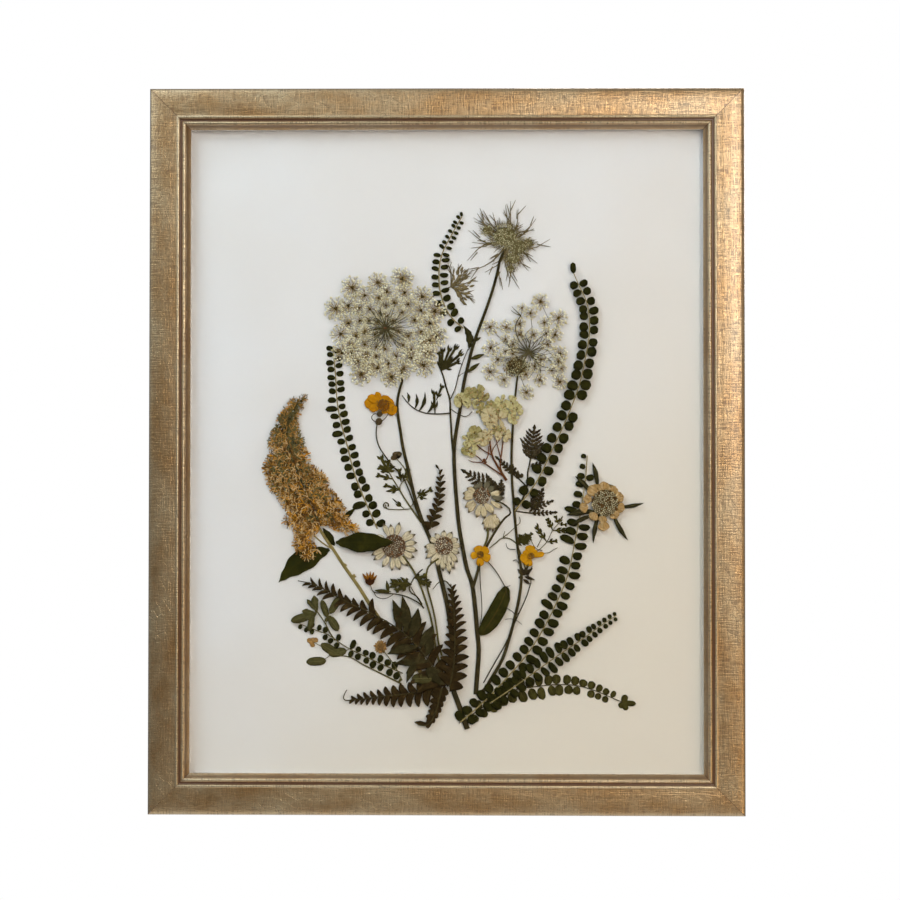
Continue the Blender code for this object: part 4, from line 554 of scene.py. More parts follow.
# One leaf, petal or bract: a grid bent from its base to its tip, cupped, rippled and given its thickness
def pressLeaf(bm, base, tip, halfWidth, form="oval", seed=0, bend=0.0, cup=0.12, ripple=0.14, low=0.12,
              teeth=0, toothDepth=0.25, cells=(4, 8), material=0, vary=None, high=leafSheet["high"]):
    pick = random.Random(seed * 7919 + int(base[0] * 31 + tip[1] * 17))
    made = bmesh.ops.create_grid(bm, x_segments=cells[0], y_segments=cells[1], size=1.0,
                                 calc_uvs=True)["verts"]
    length, dx, dz = heading(base, tip)
    shade = pick.random() if vary is None else vary
    layer = bm.verts.layers.float["vary"]
    shift = Vector((pick.uniform(0, 90), pick.uniform(0, 90), 0))
    waveAcross, waveAhead = leafSheet["waveScale"]
    for vert in made:
        across, share = vert.co.x, (vert.co.y + 1) / 2
        width = max(along(leafForms[form], share) * halfWidth, 0.05)
        if teeth:
            saw = (share * teeth) % 1.0
            width *= 1 - toothDepth * saw * min(1.0, 4 * (1 - share))
        swing = bend * length * 4 * share * (1 - share)
        side, ahead = across * width + swing, share * length
        wave = noise.noise(Vector((side * waveAcross, ahead * waveAhead, 0)) + shift)
        height = low + cup * (1 - across * across) + ripple * (wave + 0.5)
        height = min(max(height, leafSheet["lowest"]), high - leafSheet["thick"])
        vert.co = Vector((base[0] + dx * ahead + dz * side, -height, base[1] + dz * ahead - dx * side))
        vert[layer] = shade
    faces = list({face for vert in made for face in vert.link_faces})
    for face in faces:
        face.material_index = material
    for item in bmesh.ops.solidify(bm, geom=faces, thickness=leafSheet["thick"])["geom"]:
        if isinstance(item, bmesh.types.BMFace):
            item.material_index = material
        elif isinstance(item, bmesh.types.BMVert):
            item[layer] = shade


# Presses a list of leaves, each a base, a tip and what follows them for its maker; first is the first seed
def pressMany(bm, leaves, maker=pressLeaf, first=0, **look):
    for index, leaf in enumerate(leaves):
        maker(bm, *leaf, seed=first + index, **look)


# Stems, rays and filaments: bevelled curves pressed flat to a thickness about a middle height
def pressStems(bm, paths, rounding=1, steps=3, flat=0.3, middle=0.34, material=0, vary=0.5, wiggle=0.0,
               keepDepth=False):
    curve = bpy.data.curves.new("stems", "CURVE")
    curve.dimensions = "3D"
    curve.bevel_depth = 1.0
    curve.bevel_resolution = rounding
    curve.resolution_u = curve.render_resolution_u = steps
    curve.use_fill_caps = True
    for path, startWidth, endWidth in paths:
        spline = curve.splines.new("BEZIER")
        last = len(path) - 1
        spline.bezier_points.add(last)
        for index, (point, knot) in enumerate(zip(path, spline.bezier_points)):
            x, z = point[0], point[-1]
            if wiggle:
                x += wiggle * noise.noise(Vector((x * wiggleScale, z * wiggleScale, 5)))
                z += wiggle * noise.noise(Vector((x * wiggleScale, z * wiggleScale, 9)))
            knot.co = (x, point[1] if keepDepth else 0.0, z)
            knot.handle_left_type = knot.handle_right_type = "AUTO"
            knot.radius = max((startWidth + (endWidth - startWidth) * index / last) / 2, 0.02)
    holder = addObject("stems", curve)
    graph = bpy.context.evaluated_depsgraph_get()
    mesh = bpy.data.meshes.new_from_object(holder.evaluated_get(graph))
    bpy.data.objects.remove(holder)
    bpy.data.curves.remove(curve)
    layer = bm.verts.layers.float["vary"]
    firstVert, firstFace = len(bm.verts), len(bm.faces)
    bm.from_mesh(mesh)
    bpy.data.meshes.remove(mesh)
    bm.verts.ensure_lookup_table()
    bm.faces.ensure_lookup_table()
    for vert in bm.verts[firstVert:]:
        vert[layer] = vary
        if not keepDepth:
            vert.co.y = -middle + flat * math.tanh(vert.co.y / flat)
    for face in bm.faces[firstFace:]:
        face.material_index = material


def spineLengths(spine):
    return [math.dist(a, b) for a, b in zip(spine, spine[1:])]


# The point and the direction at a distance travelled along a spine
def onSpine(spine, travel):
    lengths = spineLengths(spine)
    travel = min(max(travel, 0.0), sum(lengths) - 1e-4)
    for start, end, length in zip(spine, spine[1:], lengths):
        if travel <= length:
            share = travel / length
            return ((start[0] + share * (end[0] - start[0]), start[1] + share * (end[1] - start[1])),
                    ((end[0] - start[0]) / length, (end[1] - start[1]) / length))
        travel -= length


# How far along a spine its nearest point to another point lies
def nearestTravel(spine, point):
    best, found, travel = 1e9, 0.0, 0.0
    for (ax, az), (bx, bz), length in zip(spine, spine[1:], spineLengths(spine)):
        share = ((point[0] - ax) * (bx - ax) + (point[1] - az) * (bz - az)) / (length * length)
        share = min(max(share, 0.0), 1.0)
        distance = math.hypot(point[0] - ax - share * (bx - ax), point[1] - az - share * (bz - az))
        if distance < best:
            best, found = distance, travel + share * length
        travel += length
    return found


# Finishes of the plants, dark to light

darkLeaf = tissue("darkLeaf", (34, 33, 2), (64, 63, 16), (22, 22, 2), (66, 64, 24), veinShare=0.35,
                  rimShare=0.5)
oliveLeaf = tissue("oliveLeaf", (56, 52, 16), (100, 94, 48), (40, 36, 12), (114, 104, 60), veinShare=0.4)
mottledLeaf = tissue("mottledLeaf", (44, 44, 8), (84, 78, 32), (56, 50, 12), (88, 66, 28), mottle=130.0)
greyLeaf = tissue("greyLeaf", (70, 66, 34), (116, 110, 72), (58, 54, 28), (124, 114, 74), veinShare=0.5)
oliveFern = tissue("oliveFern", (50, 44, 20), (98, 90, 58), (36, 30, 12), (44, 36, 16), veinShare=0.6,
                   rimShare=0.4)
brownFern = tissue("brownFern", (48, 34, 10), (96, 80, 42), (36, 22, 6), (30, 18, 6), veinShare=0.6,
                   rimShare=0.5)
brownLeaf = tissue("brownLeaf", (52, 42, 26), (104, 94, 70), (36, 28, 16), (84, 68, 46), veinShare=0.6)
yellowPetal = tissue("yellowPetal", (196, 138, 14), (222, 172, 32), (176, 116, 10), (170, 108, 10),
                     fineVeins=0.0, veinShare=0.3, rimShare=0.5)
orangePetal = tissue("orangePetal", (190, 126, 8), (216, 158, 20), (160, 98, 8), (150, 90, 8),
                     fineVeins=0.0, veinShare=0.3)
creamBract = tissue("creamBract", (204, 191, 160), (255, 244, 226), (66, 56, 42), (138, 122, 94),
                    tipShare=0.95, rimShare=0.6, fineVeins=0.0, veinShare=0.6)
paperFloret = tissue("paperFloret", (190, 181, 130), (230, 222, 184), (164, 138, 84), (142, 114, 62),
                     fineVeins=5.0, veinShare=0.6, rimShare=0.3)
peachPetal = tissue("peachPetal", (178, 144, 92), (244, 222, 180), (150, 112, 62), (148, 110, 66),
                    fineVeins=5.0, veinShare=0.7, rimShare=0.5)
darkStem = fibre("darkStem", (38, 32, 14), (84, 74, 44), (104, 92, 62))
oliveStem = fibre("oliveStem", (70, 66, 32), (118, 108, 64), (60, 50, 26))
paleStem = fibre("paleStem", (104, 90, 44), (168, 150, 96), (70, 60, 30), fleckShare=0.35)
tanStem = fibre("tanStem", (120, 104, 64), (176, 160, 112), (96, 80, 46))
redStalk = fibre("redStalk", (70, 38, 18), (128, 78, 42), (50, 26, 12))


# A low mound under a head of florets, so that nothing shows between them
def pressMound(bm, centre, radius, height, material, vary=0.3, squash=1.0, rise=0.1, rings=8):
    made = bmesh.ops.create_uvsphere(bm, u_segments=3 * rings, v_segments=rings, radius=1.0)["verts"]
    bmesh.ops.rotate(bm, verts=made, matrix=Matrix.Rotation(math.pi / 2, 3, "X"))
    bmesh.ops.scale(bm, verts=made, vec=(radius, height / 2, radius * squash))
    bmesh.ops.translate(bm, verts=made, vec=(centre[0], -height / 2 - rise, centre[1]))
    layer = bm.verts.layers.float["vary"]
    for vert in made:
        vert[layer] = vary
        for face in vert.link_faces:
            face.material_index = material


# Button ferns: rounded leaflets down both sides of a thin rachis, from its tip to its foot

buttonFern = {"sizeShare": (0.88, 1.12), "turn": 9.0, "lean": 8.0, "drift": 0.5, "longer": 1.45,
              "sideSeed": 40}


# Where the leaflets of one side stand: first travel, pitch at the tip and at the foot, places left empty
def leafPlaces(spine, first, tipPitch, footPitch, empty=()):
    total, travel, index = sum(spineLengths(spine)), first, 0
    while travel < total - 1:
        if index not in empty:
            yield index, travel, travel / total
        travel += tipPitch + (footPitch - tipPitch) * travel / total
        index += 1


# half and rounded are the leaflets' half length and their width as a share of it, along the rachis
def pressButtonFern(name, layer, spine, left, right, half, rounded, rachisWidth=1.2, leaf=darkLeaf,
                    stem=tanStem, longer=(), crown=()):
    bm = startPlant()
    pick = random.Random(len(name) * 7 + len(spine))
    pressStems(bm, [(spine, rachisWidth * 0.7, rachisWidth)], middle=0.46, flat=0.16, material=1, wiggle=0.6)
    for side, places in ((-1, left), (1, right)):
        for index, travel, share in leafPlaces(spine, *places):
            foot, (dx, dz) = onSpine(spine, travel + pick.uniform(-1, 1) * buttonFern["drift"])
            reach = 2 * along(half, share) * pick.uniform(*buttonFern["sizeShare"])
            reach *= buttonFern["longer"] if (side, index) in longer else 1.0
            turn = math.radians(buttonFern["lean"] + pick.uniform(-1, 1) * buttonFern["turn"])
            ox = -dz * side * math.cos(turn) - dx * math.sin(turn)
            oz = dx * side * math.cos(turn) - dz * math.sin(turn)
            base = (foot[0] + ox * rachisWidth * 0.4, foot[1] + oz * rachisWidth * 0.4)
            wide = along(half, share) * along(rounded, share) * pick.uniform(0.92, 1.08)
            pressLeaf(bm, base, (base[0] + ox * reach, base[1] + oz * reach), wide,
                      seed=index + buttonFern["sideSeed"] * side, bend=0.04, ripple=0.16)
    pressMany(bm, [(spine[0], tip, wide) for tip, wide in crown], ripple=0.16)
    finishPlant(name, layer, bm, [leaf, stem])


pressButtonFern(
    "button_fern_top", 1, [(12, 184), (3, 168), (-4, 154), (-6, 138), (-4, 120), (3, 106), (13, 96)],
    (2.5, 3.8, 8.8), (5, 3.8, 8.8), [(0, 1.8), (0.25, 2.1), (0.42, 3.1), (0.85, 3.5), (1, 2.8)],
    [(0, 0.68), (0.35, 0.6), (0.62, 0.58), (0.74, 0.76), (1, 0.76)], crown=[((11, 187.5), 1.2)])
pressButtonFern(
    "button_fern_left", 0,
    [(-89, 80), (-87, 60), (-86, 40), (-83, 22), (-78, 4), (-73, -14), (-64, -38), (-54, -61)],
    (5, 5.6, 8.2), (2, 6, 7.6), [(0, 2.6), (0.12, 3.0), (0.5, 3.3), (1, 3.4)],
    [(0, 0.72), (0.5, 0.74), (0.8, 0.9), (1, 0.8)], longer={(-1, 7), (-1, 10), (-1, 18)},
    crown=[((-94.5, 81), 2.0)])
pressButtonFern(
    "button_fern_tall", 4, [(99.3, 139), (104.3, 128), (108.3, 120), (110.8, 110), (111.3, 90), (108.3, 72),
                            (103.8, 52), (98.3, 36), (90.3, 17.5), (81.3, -2), (70.3, -24), (53.3, -47)],
    (8.5, 6.8, 10.6), (10, 7.2, 10.4, {12}), [(0, 3.2), (0.2, 3.6), (0.5, 4.0), (0.85, 3.8), (1, 3.3)],
    [(0, 0.9), (0.4, 0.98), (1, 0.98)], 1.1, crown=[((98.5, 147.5), 2.3)])
pressButtonFern(
    "button_fern_long", 2, [(109.8, -3.5), (108.5, -22), (105, -48), (100.5, -70), (94.5, -98), (86, -118),
                            (76, -138), (64.5, -157), (48, -176), (31, -194), (11, -212)],
    (1.5, 7.4, 8.4, {10}), (18, 7.4, 8.4, {1, 2, 3, 4}),
    [(0, 2.4), (0.12, 4.0), (0.3, 4.3), (0.6, 4.2), (1, 4.1)],
    [(0, 0.8), (0.15, 0.62), (0.4, 0.7), (0.7, 0.8), (1, 0.84)], longer={(-1, 6), (-1, 9), (-1, 16)})
pressButtonFern(
    "button_fern_slanting", 3,
    [(133, -128), (120, -136.5), (107, -146), (91, -156.5), (74, -168.5), (53, -184), (34, -197)],
    (1.5, 4.4, 8.6), (3, 4.6, 8.8),
    [(0, 1.7), (0.15, 2.3), (0.3, 3.0), (0.42, 4.4), (0.6, 4.8), (0.72, 3.6), (1, 3.6)],
    [(0, 0.84), (0.3, 0.8), (0.44, 0.58), (0.6, 0.56), (0.72, 0.8), (1, 0.84)], 1.0)
pressButtonFern(
    "button_fern_low", 0, [(138, -196.5), (130, -192.8), (113, -186), (101, -183), (88, -182), (72, -184),
                           (48, -188.5), (18, -207)], (11, 5.2, 9.6), (14, 5.4, 9.8, {3}),
    [(0, 1.6), (0.12, 2.8), (0.28, 3.3), (0.45, 4.3), (0.62, 4.8), (0.8, 3.9), (1, 3.4)],
    [(0, 0.85), (0.3, 0.92), (0.5, 0.7), (0.8, 0.82), (1, 0.8)], 1.0, oliveLeaf, darkStem,
    crown=[((148, -197), 2.2), ((140, -190), 2.6), ((141, -202), 2.3), ((135, -200), 2.4)])
print("button ferns pressed")


# Pointed ferns: hooked leaflets that stand wide on a dark rachis. A leaflet's foot lies lag behind its tip
def pressPointedFern(spine, left, right, reaches, half, rachisWidth, lag):
    bm = startPlant()
    pick = random.Random(len(spine))
    pressStems(bm, [(spine, rachisWidth * 0.45, rachisWidth * 0.8)], middle=0.5, flat=0.14, material=1)
    for side, places, reach in ((-1, left, reaches[0]), (1, right, reaches[1])):
        for index, travel, share in leafPlaces(spine, *places):
            beside, (dx, dz) = onSpine(spine, travel)
            out = side * along(reach, share) * pick.uniform(0.94, 1.06)
            pressLeaf(bm, onSpine(spine, travel + lag)[0], (beside[0] - dz * out, beside[1] + dx * out),
                      along(half, share) * pick.uniform(0.9, 1.05), "sickle",
                      seed=index + buttonFern["sideSeed"] * side, bend=-side * 0.1, cup=0.08, cells=(5, 10))
    return bm


fern = pressPointedFern(
    [(-8.5, -10.5), (-6, -14), (-5, -20), (-5, -28), (-7, -42), (-11, -55), (-12.7, -61)], (10, 3.8, 5.8),
    (5, 4.2, 6.4), [[(0, 2.4), (0.4, 3.8), (1, 6.6)], [(0, 2.6), (0.45, 5.2), (1, 6.6)]],
    [(0, 1.0), (0.5, 1.7), (1, 2.4)], 1.6, 3.5)
pressLeaf(fern, (-6, -14), (-8.6, -10.4), 0.9, "narrow", seed=2)
finishPlant("fern_small", 3, fern, [brownFern, darkStem])

fern = pressPointedFern(
    [(3.5, -103.5), (5.5, -118), (6.5, -136), (6.5, -158), (4.5, -176), (2.5, -184)], (3, 4.4, 8),
    (1, 4.2, 8.6),
    [[(0, 3.2), (0.4, 6.4), (0.7, 10.4), (1, 12.4)], [(0, 4), (0.4, 9), (0.7, 11.4), (1, 11)]],
    [(0, 1.3), (0.35, 1.9), (0.65, 3.0), (1, 3.8)], 1.8, 5.0)
pressStems(fern, [([(-10.5, -108), (-5, -102), (-1, -101.5), (2, -104), (5, -108)], 0.7, 1.5)], material=1)
finishPlant("fern_upright", 5, fern, [brownFern, darkStem])

fern = pressPointedFern(
    [(-116, -101.5), (-104, -104.2), (-84, -114.5), (-68, -122.5), (-52, -130), (-37, -139.5), (-23, -152),
     (-8, -171.5), (-1.5, -180)], (4, 4.6, 9.4, {5}), (9, 5, 11, {9, 10}),
    [[(0, 3), (0.25, 9), (0.5, 14), (0.75, 19), (1, 24)],
     [(0, 4.5), (0.2, 8), (0.27, 4.4), (0.34, 5.6), (0.44, 12.5), (0.6, 18), (0.75, 19), (1, 10)]],
    [(0, 1.1), (0.3, 2.2), (0.6, 3.1), (1, 3.8)], 1.8, 6.0)
for index, (base, tip, half) in enumerate([
        ((-36, -140), (-42, -116), 4.0), ((-32, -143), (-34.5, -113), 4.4), ((-28, -146), (-22, -122.5), 4.6),
        ((-21, -153), (-10.5, -136), 4.4), ((-16, -160), (-12, -143), 3.8), ((-22, -153), (-46, -158.5), 4.0),
        ((-14, -164), (-41, -166.5), 4.0), ((-22, -163), (-31, -181), 3)]):
    pressLeaf(fern, base, tip, half, "lance", seed=60 + index, material=2, cells=(5, 12), bend=0.05,
              ripple=0.25, low=0.05 + 0.1 * (index % 3))
pressLeaf(fern, (-9, -177.5), (-27, -177.5), 4.2, "oval", material=3, cells=(5, 12))
pressLeaf(fern, (0, -181), (-15.5, -170), 5.4, "oval", material=2, cells=(6, 12), low=0.2)
pressStems(fern, [([(-23, -165), (-20, -158)], 2.6, 3.0)], material=1)
finishPlant("fern_slanting", 4, fern, [brownFern, darkStem, oliveFern, greyLeaf])

fern = pressPointedFern(
    [(-77.5, -186.5), (-79.5, -190), (-79.8, -194), (-75, -194.6), (-55, -192.2), (-35, -190.2),
     (-15, -186.6), (-3, -183)], (12.5, 3.3, 8.2), (14, 4.2, 8.4),
    [[(0, 1), (0.3, 5.4), (0.6, 10.4), (0.85, 13), (1, 9)], [(0, 1), (0.3, 5.2), (0.6, 8.6), (1, 7)]],
    [(0, 0.8), (0.3, 1.7), (0.6, 2.8), (1, 3.4)], 1.8, 3.0)
finishPlant("fern_level", 2, fern, [brownFern, darkStem])

fern = pressPointedFern(
    [(-24.5, -211.6), (-20, -214), (-14, -213), (-8, -203), (-4.5, -190), (-3.5, -185)], (10, 3.8, 5.4),
    (11, 4, 5.4), [[(0, 2.4), (0.5, 3.8), (1, 6)], [(0, 3.2), (0.5, 5.4), (1, 8)]],
    [(0, 2), (0.5, 2.7), (1, 3.8)], 2.2, 3.0)
pressLeaf(fern, (-14, -213), (-24.8, -211.4), 1.6, "narrow", seed=2)
finishPlant("fern_drooping", 3, fern, [brownFern, darkStem])
print("pointed ferns pressed")

# Long stems

bm = startPlant()
pressStems(bm, [
    ([(-35.5, 64), (-34.5, 57), (-37, 47), (-38.5, 38), (-38, 28), (-36, 15), (-34, 2), (-30, -14),
      (-26, -32), (-22, -46), (-18, -57), (-13, -68), (-9, -80), (-6, -93), (-3, -105), (1, -122),
      (3, -136), (4.5, -150), (5, -168), (5.5, -186), (9, -196), (12.5, -206), (16.5, -217)], 1.7, 4.4),
    ([(13, -207), (10, -213)], 0.8, 0.5)], rounding=2, vary=0.3)
finishPlant("lace_umbel_left_stem", 1, bm, [darkStem])

bm = startPlant()
pressStems(bm, [
    ([(56, 62), (54.5, 50), (53, 33), (51.8, 17), (51, 0), (51, -18), (52.5, -40), (54, -58), (56, -78),
      (58.5, -95), (58, -107), (54, -128), (48, -150), (44, -162), (35, -178), (30, -186), (24, -191)], 1.5,
     2.8), ([(46, -131.5), (49, -131), (52.5, -131.5), (56, -133), (59, -135.5)], 0.5, 0.4),
    ([(46, -122), (51, -125), (54, -128)], 0.5, 0.6), ([(55, -128), (58.5, -124)], 0.6, 0.4),
    ([(54, -77), (48, -76), (46.5, -72)], 0.7, 0.4), ([(52, -86), (54.5, -85), (56.5, -88)], 0.6, 0.5)],
           rounding=2, vary=0.35)
pressMany(bm, [
    ((60, -97), (55.5, -92), 1.5), ((60, -97), (58, -89.5), 1.6), ((60, -97), (63.5, -90), 1.6),
    ((60, -97), (67.5, -91.5), 1.5), ((61, -98), (69, -100.5), 1.2), ((60, -100), (65.5, -104), 1.3),
    ((60, -99), (56, -98.5), 1.4)], form="lance", material=1, ripple=0.3)
finishPlant("lace_umbel_right_stem", 1, bm, [darkStem, brownLeaf])


# A cut leaf: a midrib with narrow lobes that lean to the tip on both sides
def pressCutLeaf(bm, base, tip, halfWidth, lobes=3, seed=0, width=1.1):
    pick = random.Random(seed)
    length, dx, dz = heading(base, tip)
    pressLeaf(bm, base, tip, halfWidth * 0.45, "lobe", seed=seed)
    for step in range(lobes):
        share = 0.22 + 0.55 * step / max(lobes - 1, 1)
        for side in (1, -1):
            reach = halfWidth * (1.15 - 0.5 * share) * pick.uniform(0.8, 1.15)
            foot = (base[0] + dx * length * share, base[1] + dz * length * share)
            ahead = share * length + length * 0.45 * pick.uniform(0.6, 1.0) * (1 - share * 0.4)
            end = (base[0] + dx * ahead + dz * reach * side, base[1] + dz * ahead - dx * reach * side)
            pressLeaf(bm, foot, end, width, "lance", seed=seed * 13 + step, bend=0.08 * side, cells=(3, 6))


twigLeaf = tissue("twigLeaf", (46, 42, 16), (88, 80, 44), (36, 32, 12), (92, 82, 48), veinShare=0.5)


# A feather-shaped leaf: toothed leaflets in pairs, longest below the middle
def pressFeather(bm, base, tip, halfWidth, pairs, half, seed):
    pick = random.Random(seed)
    length, dx, dz = heading(base, tip)
    teeth = {"teeth": 3, "toothDepth": 0.5, "cells": (4, 12)}
    pressStems(bm, [([base, tip], 1.0, 0.4)], steps=1, rounding=0, flat=0.14, middle=0.5, material=1,
               vary=0.4)
    for step in range(pairs):
        share = 0.12 + 0.74 * step / pairs
        for side in (1, -1):
            reach = halfWidth * (0.72 + 1.2 * share if share < 0.3 else 1.4 - 1.15 * share)
            reach *= pick.uniform(0.85, 1.1)
            foot = (base[0] + dx * length * share, base[1] + dz * length * share)
            ahead = share * length + reach * 0.75
            end = (base[0] + dx * ahead + dz * reach * side, base[1] + dz * ahead - dx * reach * side)
            pressLeaf(bm, foot, end, half * (1.15 - 0.5 * share), "sickle", seed=seed * 17 + step * 2 + side,
                      bend=0.06 * side, **teeth)
    pressLeaf(bm, (tip[0] - dx * length * 0.3, tip[1] - dz * length * 0.3), tip, half, "lobe", seed=seed,
              **teeth)


bm = startPlant()
pressStems(bm, [
    ([(-7, 69), (-3, 60), (0, 50), (2.5, 40), (2.5, 30), (3, 20), (4, 10), (5, -2)], 1.3, 2.0),
    ([(2.7, 29.5), (-8, 29), (-20, 30.5), (-28, 36), (-35, 43)], 1.2, 0.8),
    ([(17, 80), (12, 68), (9, 58), (7, 50), (3, 41)], 0.7, 0.9),
    ([(2.6, 33), (10, 29), (15, 27), (20, 31)], 0.7, 0.7), ([(12, 68), (6, 70)], 0.5, 0.4),
    ([(9, 58), (13, 61), (20, 62)], 0.5, 0.4)], material=1, wiggle=0.8, vary=0.3)
pressLeaf(bm, (17.5, 80), (13, 98.5), 3.2, "lance", bend=0.14, seed=1, cells=(5, 12), ripple=0.3, teeth=3,
          toothDepth=0.3)
pressCutLeaf(bm, (17, 79), (21, 90), 1.8, 1, seed=2, width=0.9)
pressCutLeaf(bm, (-9, 29), (-10, 48), 2.6, 2, seed=3, width=0.8)
pressCutLeaf(bm, (-8, 40), (-3, 52), 2.2, 2, seed=4, width=0.8)
pressMany(bm, [((-22, 31), (-17, 46.5), 1.6), ((-25, 33), (-24, 45), 1.5), ((-15, 30), (-10, 41), 1.5),
               ((-30, 38), (-31, 46), 1.4)], first=5, form="lance", bend=0.12, teeth=2, toothDepth=0.4)
pressMany(bm, [((-4, 63), tip, 2.4, 2) for tip in ((-6, 79), (-3, 81), (3, 82), (9, 84), (13, 78), (11, 71))],
          pressCutLeaf, 10, width=0.85)
finishPlant("leafy_twig_left", 0, bm, [twigLeaf, darkStem])
print("stems and twigs pressed")

# Lace flowers: umbellets of tiny florets on fine pedicels, each at the end of a ray

laceFloret = fibre("laceFloret", (206, 190, 140), (254, 248, 222), (150, 128, 78), vary=1.0)
lacePedicel = fibre("lacePedicel", (120, 98, 60), (178, 156, 110), (80, 66, 36), mottle=90.0)
laceRay = fibre("laceRay", (72, 66, 42), (122, 112, 80), (60, 44, 30))
laceHeart = fibre("laceHeart", (50, 40, 18), (92, 76, 42), (110, 78, 44))
budBract = fibre("budBract", (84, 72, 46), (142, 126, 92), (58, 50, 28), vary=1.0)
budDome = fibre("budDome", (156, 146, 104), (236, 228, 186), (90, 80, 46), vary=1.0)
# budShade is painted shade: the mounds under the bud's florets get it so that the gaps between them look dark
budShade = fibre("budShade", (84, 78, 46), (122, 114, 76), (60, 52, 28), vary=1.0)

laceFlower = {"floretHeight": 0.22, "petalNotch": 0.6, "hub": (-48, 96), "rayHub": (64, 77),
              "bud": (48, 163), "smallBud": (3.5, 129)}


# A tiny floret of unit reach: a low cone with a notched rim
def makeFloret(height, notch, petals=5):
    bm = startPlant()
    made = bmesh.ops.create_cone(bm, cap_ends=True, segments=2 * petals, radius1=1.0, radius2=0.0,
                                 depth=height)["verts"]
    rim = [vert for vert in made if vert.co.z < 0]
    for vert in rim:
        turn = round(math.atan2(vert.co.y, vert.co.x) / math.pi * petals)
        if turn % 2:
            vert.co.xy *= notch
    bmesh.ops.rotate(bm, verts=bm.verts, matrix=Matrix.Rotation(math.pi / 2, 3, "X"))
    return makeMesh(bm, "floret")


def placeCopy(bm, mesh, point, scale, turn, height, vary=None, material=None):
    placed = mesh.copy()
    placed.transform(Matrix.Translation((point[0], -height, point[1])) @ Matrix.Rotation(turn, 4, "Y")
                     @ Matrix.Diagonal((scale, min(scale, 1.0), scale, 1)))
    if material is not None:
        placed.polygons.foreach_set("material_index", [material] * len(placed.polygons))
    if vary is not None:
        placed.attributes["vary"].data.foreach_set("value", [vary] * len(placed.vertices))
    bm.from_mesh(placed)
    bpy.data.meshes.remove(placed)


def makeUmbellet(seed, florets, floretSize, pedicelWidth, inner=0.45, heart=1.0, spread=0.12):
    pick = random.Random(seed)
    bm = startPlant()
    floret = makeFloret(laceFlower["floretHeight"], laceFlower["petalNotch"])
    paths = []
    for index, fill, turn in spiral(florets):
        turn += pick.uniform(-0.15, 0.15)
        x, z = pointAt((0, 0), inner + (1 - inner) * fill * pick.uniform(0.9, 1.06), turn)
        lean = pick.uniform(-spread, spread)
        paths.append(([(0, 0), (x * 0.5 - z * lean, z * 0.5 + x * lean), (x, z)], pedicelWidth,
                      pedicelWidth * 0.7))
        placeCopy(bm, floret, (x, z), floretSize * pick.uniform(0.8, 1.15), pick.uniform(0, 6.28),
                  pick.uniform(0.3, 0.42), pick.random(), 0)
    pressStems(bm, paths, rounding=0, steps=1, flat=0.08, middle=0.24, material=1)
    placeCopy(bm, floret, (0, 0), 0.16 * heart, 0.4, 0.3, 0.3, 2)
    bpy.data.meshes.remove(floret)
    return makeMesh(bm, "umbellet")


# Rays from a hub, each with an umbellet at its end; rise lifts the umbellets near the hub
def pressUmbel(hub, heads, templates, rayWidth, rise, bow=0.1):
    pick = random.Random(len(heads))
    bm = startPlant()
    rays = []
    for index, (x, z, radius) in enumerate(heads):
        lean = pick.uniform(-bow, bow)
        middle = ((hub[0] + x) / 2 - (z - hub[1]) * lean, (hub[1] + z) / 2 + (x - hub[0]) * lean)
        rays.append(([hub, middle, (x, z)], rayWidth, rayWidth * 0.55))
        lift = rise * max(0.0, 1 - math.dist((x, z), hub) / 30) + (0.16 if index % 2 else 0.0)
        placeCopy(bm, templates[index % len(templates)], (x, z), radius, pick.uniform(0, 6.28), lift)
    pressStems(bm, rays, rounding=0, steps=3, flat=0.1, middle=0.14, material=3)
    return bm


# Umbellets are unit size, so their florets and pedicels are given as shares of the radius
denseUmbellets = [makeUmbellet(seed, 40, 0.118, 0.032, inner=0.3, heart=1.15) for seed in (1, 2, 3)]
openUmbellets = [makeUmbellet(seed, 34, 0.122, 0.032, inner=0.36, heart=1.2) for seed in (4, 5, 6)]
sparseUmbellets = [makeUmbellet(seed, 22, 0.17, 0.06, inner=0.4, heart=1.2, spread=0.2) for seed in (7, 8, 9)]

laceHub = laceFlower["hub"]
leftHeads = [
    (-35, 135), (-54, 132), (-74, 128), (-64, 122), (-47, 125), (-33, 124), (-53, 120), (-19, 121),
    (-87, 111.5), (-77, 114), (-69, 112), (-60, 111), (-41, 116), (-30, 115), (-35, 108.5), (-20, 110),
    (-9, 109.5), (-47.5, 114), (-77, 100), (-68, 102), (-61, 102), (-13, 100), (-25, 102.5), (-83, 91.5),
    (-71, 90), (-64, 94), (-75, 83), (-81.5, 77), (-64, 83.5), (-55, 81.5), (-63, 75), (-70, 70), (-55, 74),
    (-54, 65), (-67, 60), (-45.5, 68.5), (-43, 58), (-33.5, 64.5), (-34, 83), (-39.5, 74), (-28, 79),
    (-28, 73), (-15.5, 77), (-18, 67), (-18, 84), (-20, 93.5), (-8, 90), (-13, 86.5), (-60, 66), (-74, 76),
    (-52, 108), (-64, 92), (-30, 90), (-48, 80), (-44, 90), (-54, 101), (-42, 102), (-56, 91), (-47, 106),
    (-38, 94)]
leftHeads = [(x, z, 5.0 + 4.6 * min(1.0, math.dist((x, z), laceHub) / 42) ** 2) for x, z in leftHeads]
bm = pressUmbel(laceHub, leftHeads, denseUmbellets + openUmbellets, 0.5, 0.4)
pick = random.Random(3)
core = []
for index in range(64):
    turn, reach = index * goldenAngle, pick.uniform(7, 19)
    middle = pointAt(laceHub, reach * 0.55, turn + pick.uniform(-2.2, 2.2) / 9)
    core.append(([laceHub, middle, pointAt(laceHub, reach, turn)], 0.46, 0.36))
pressStems(bm, core, rounding=0, steps=2, flat=0.16, middle=1.0, material=3, vary=0.1)
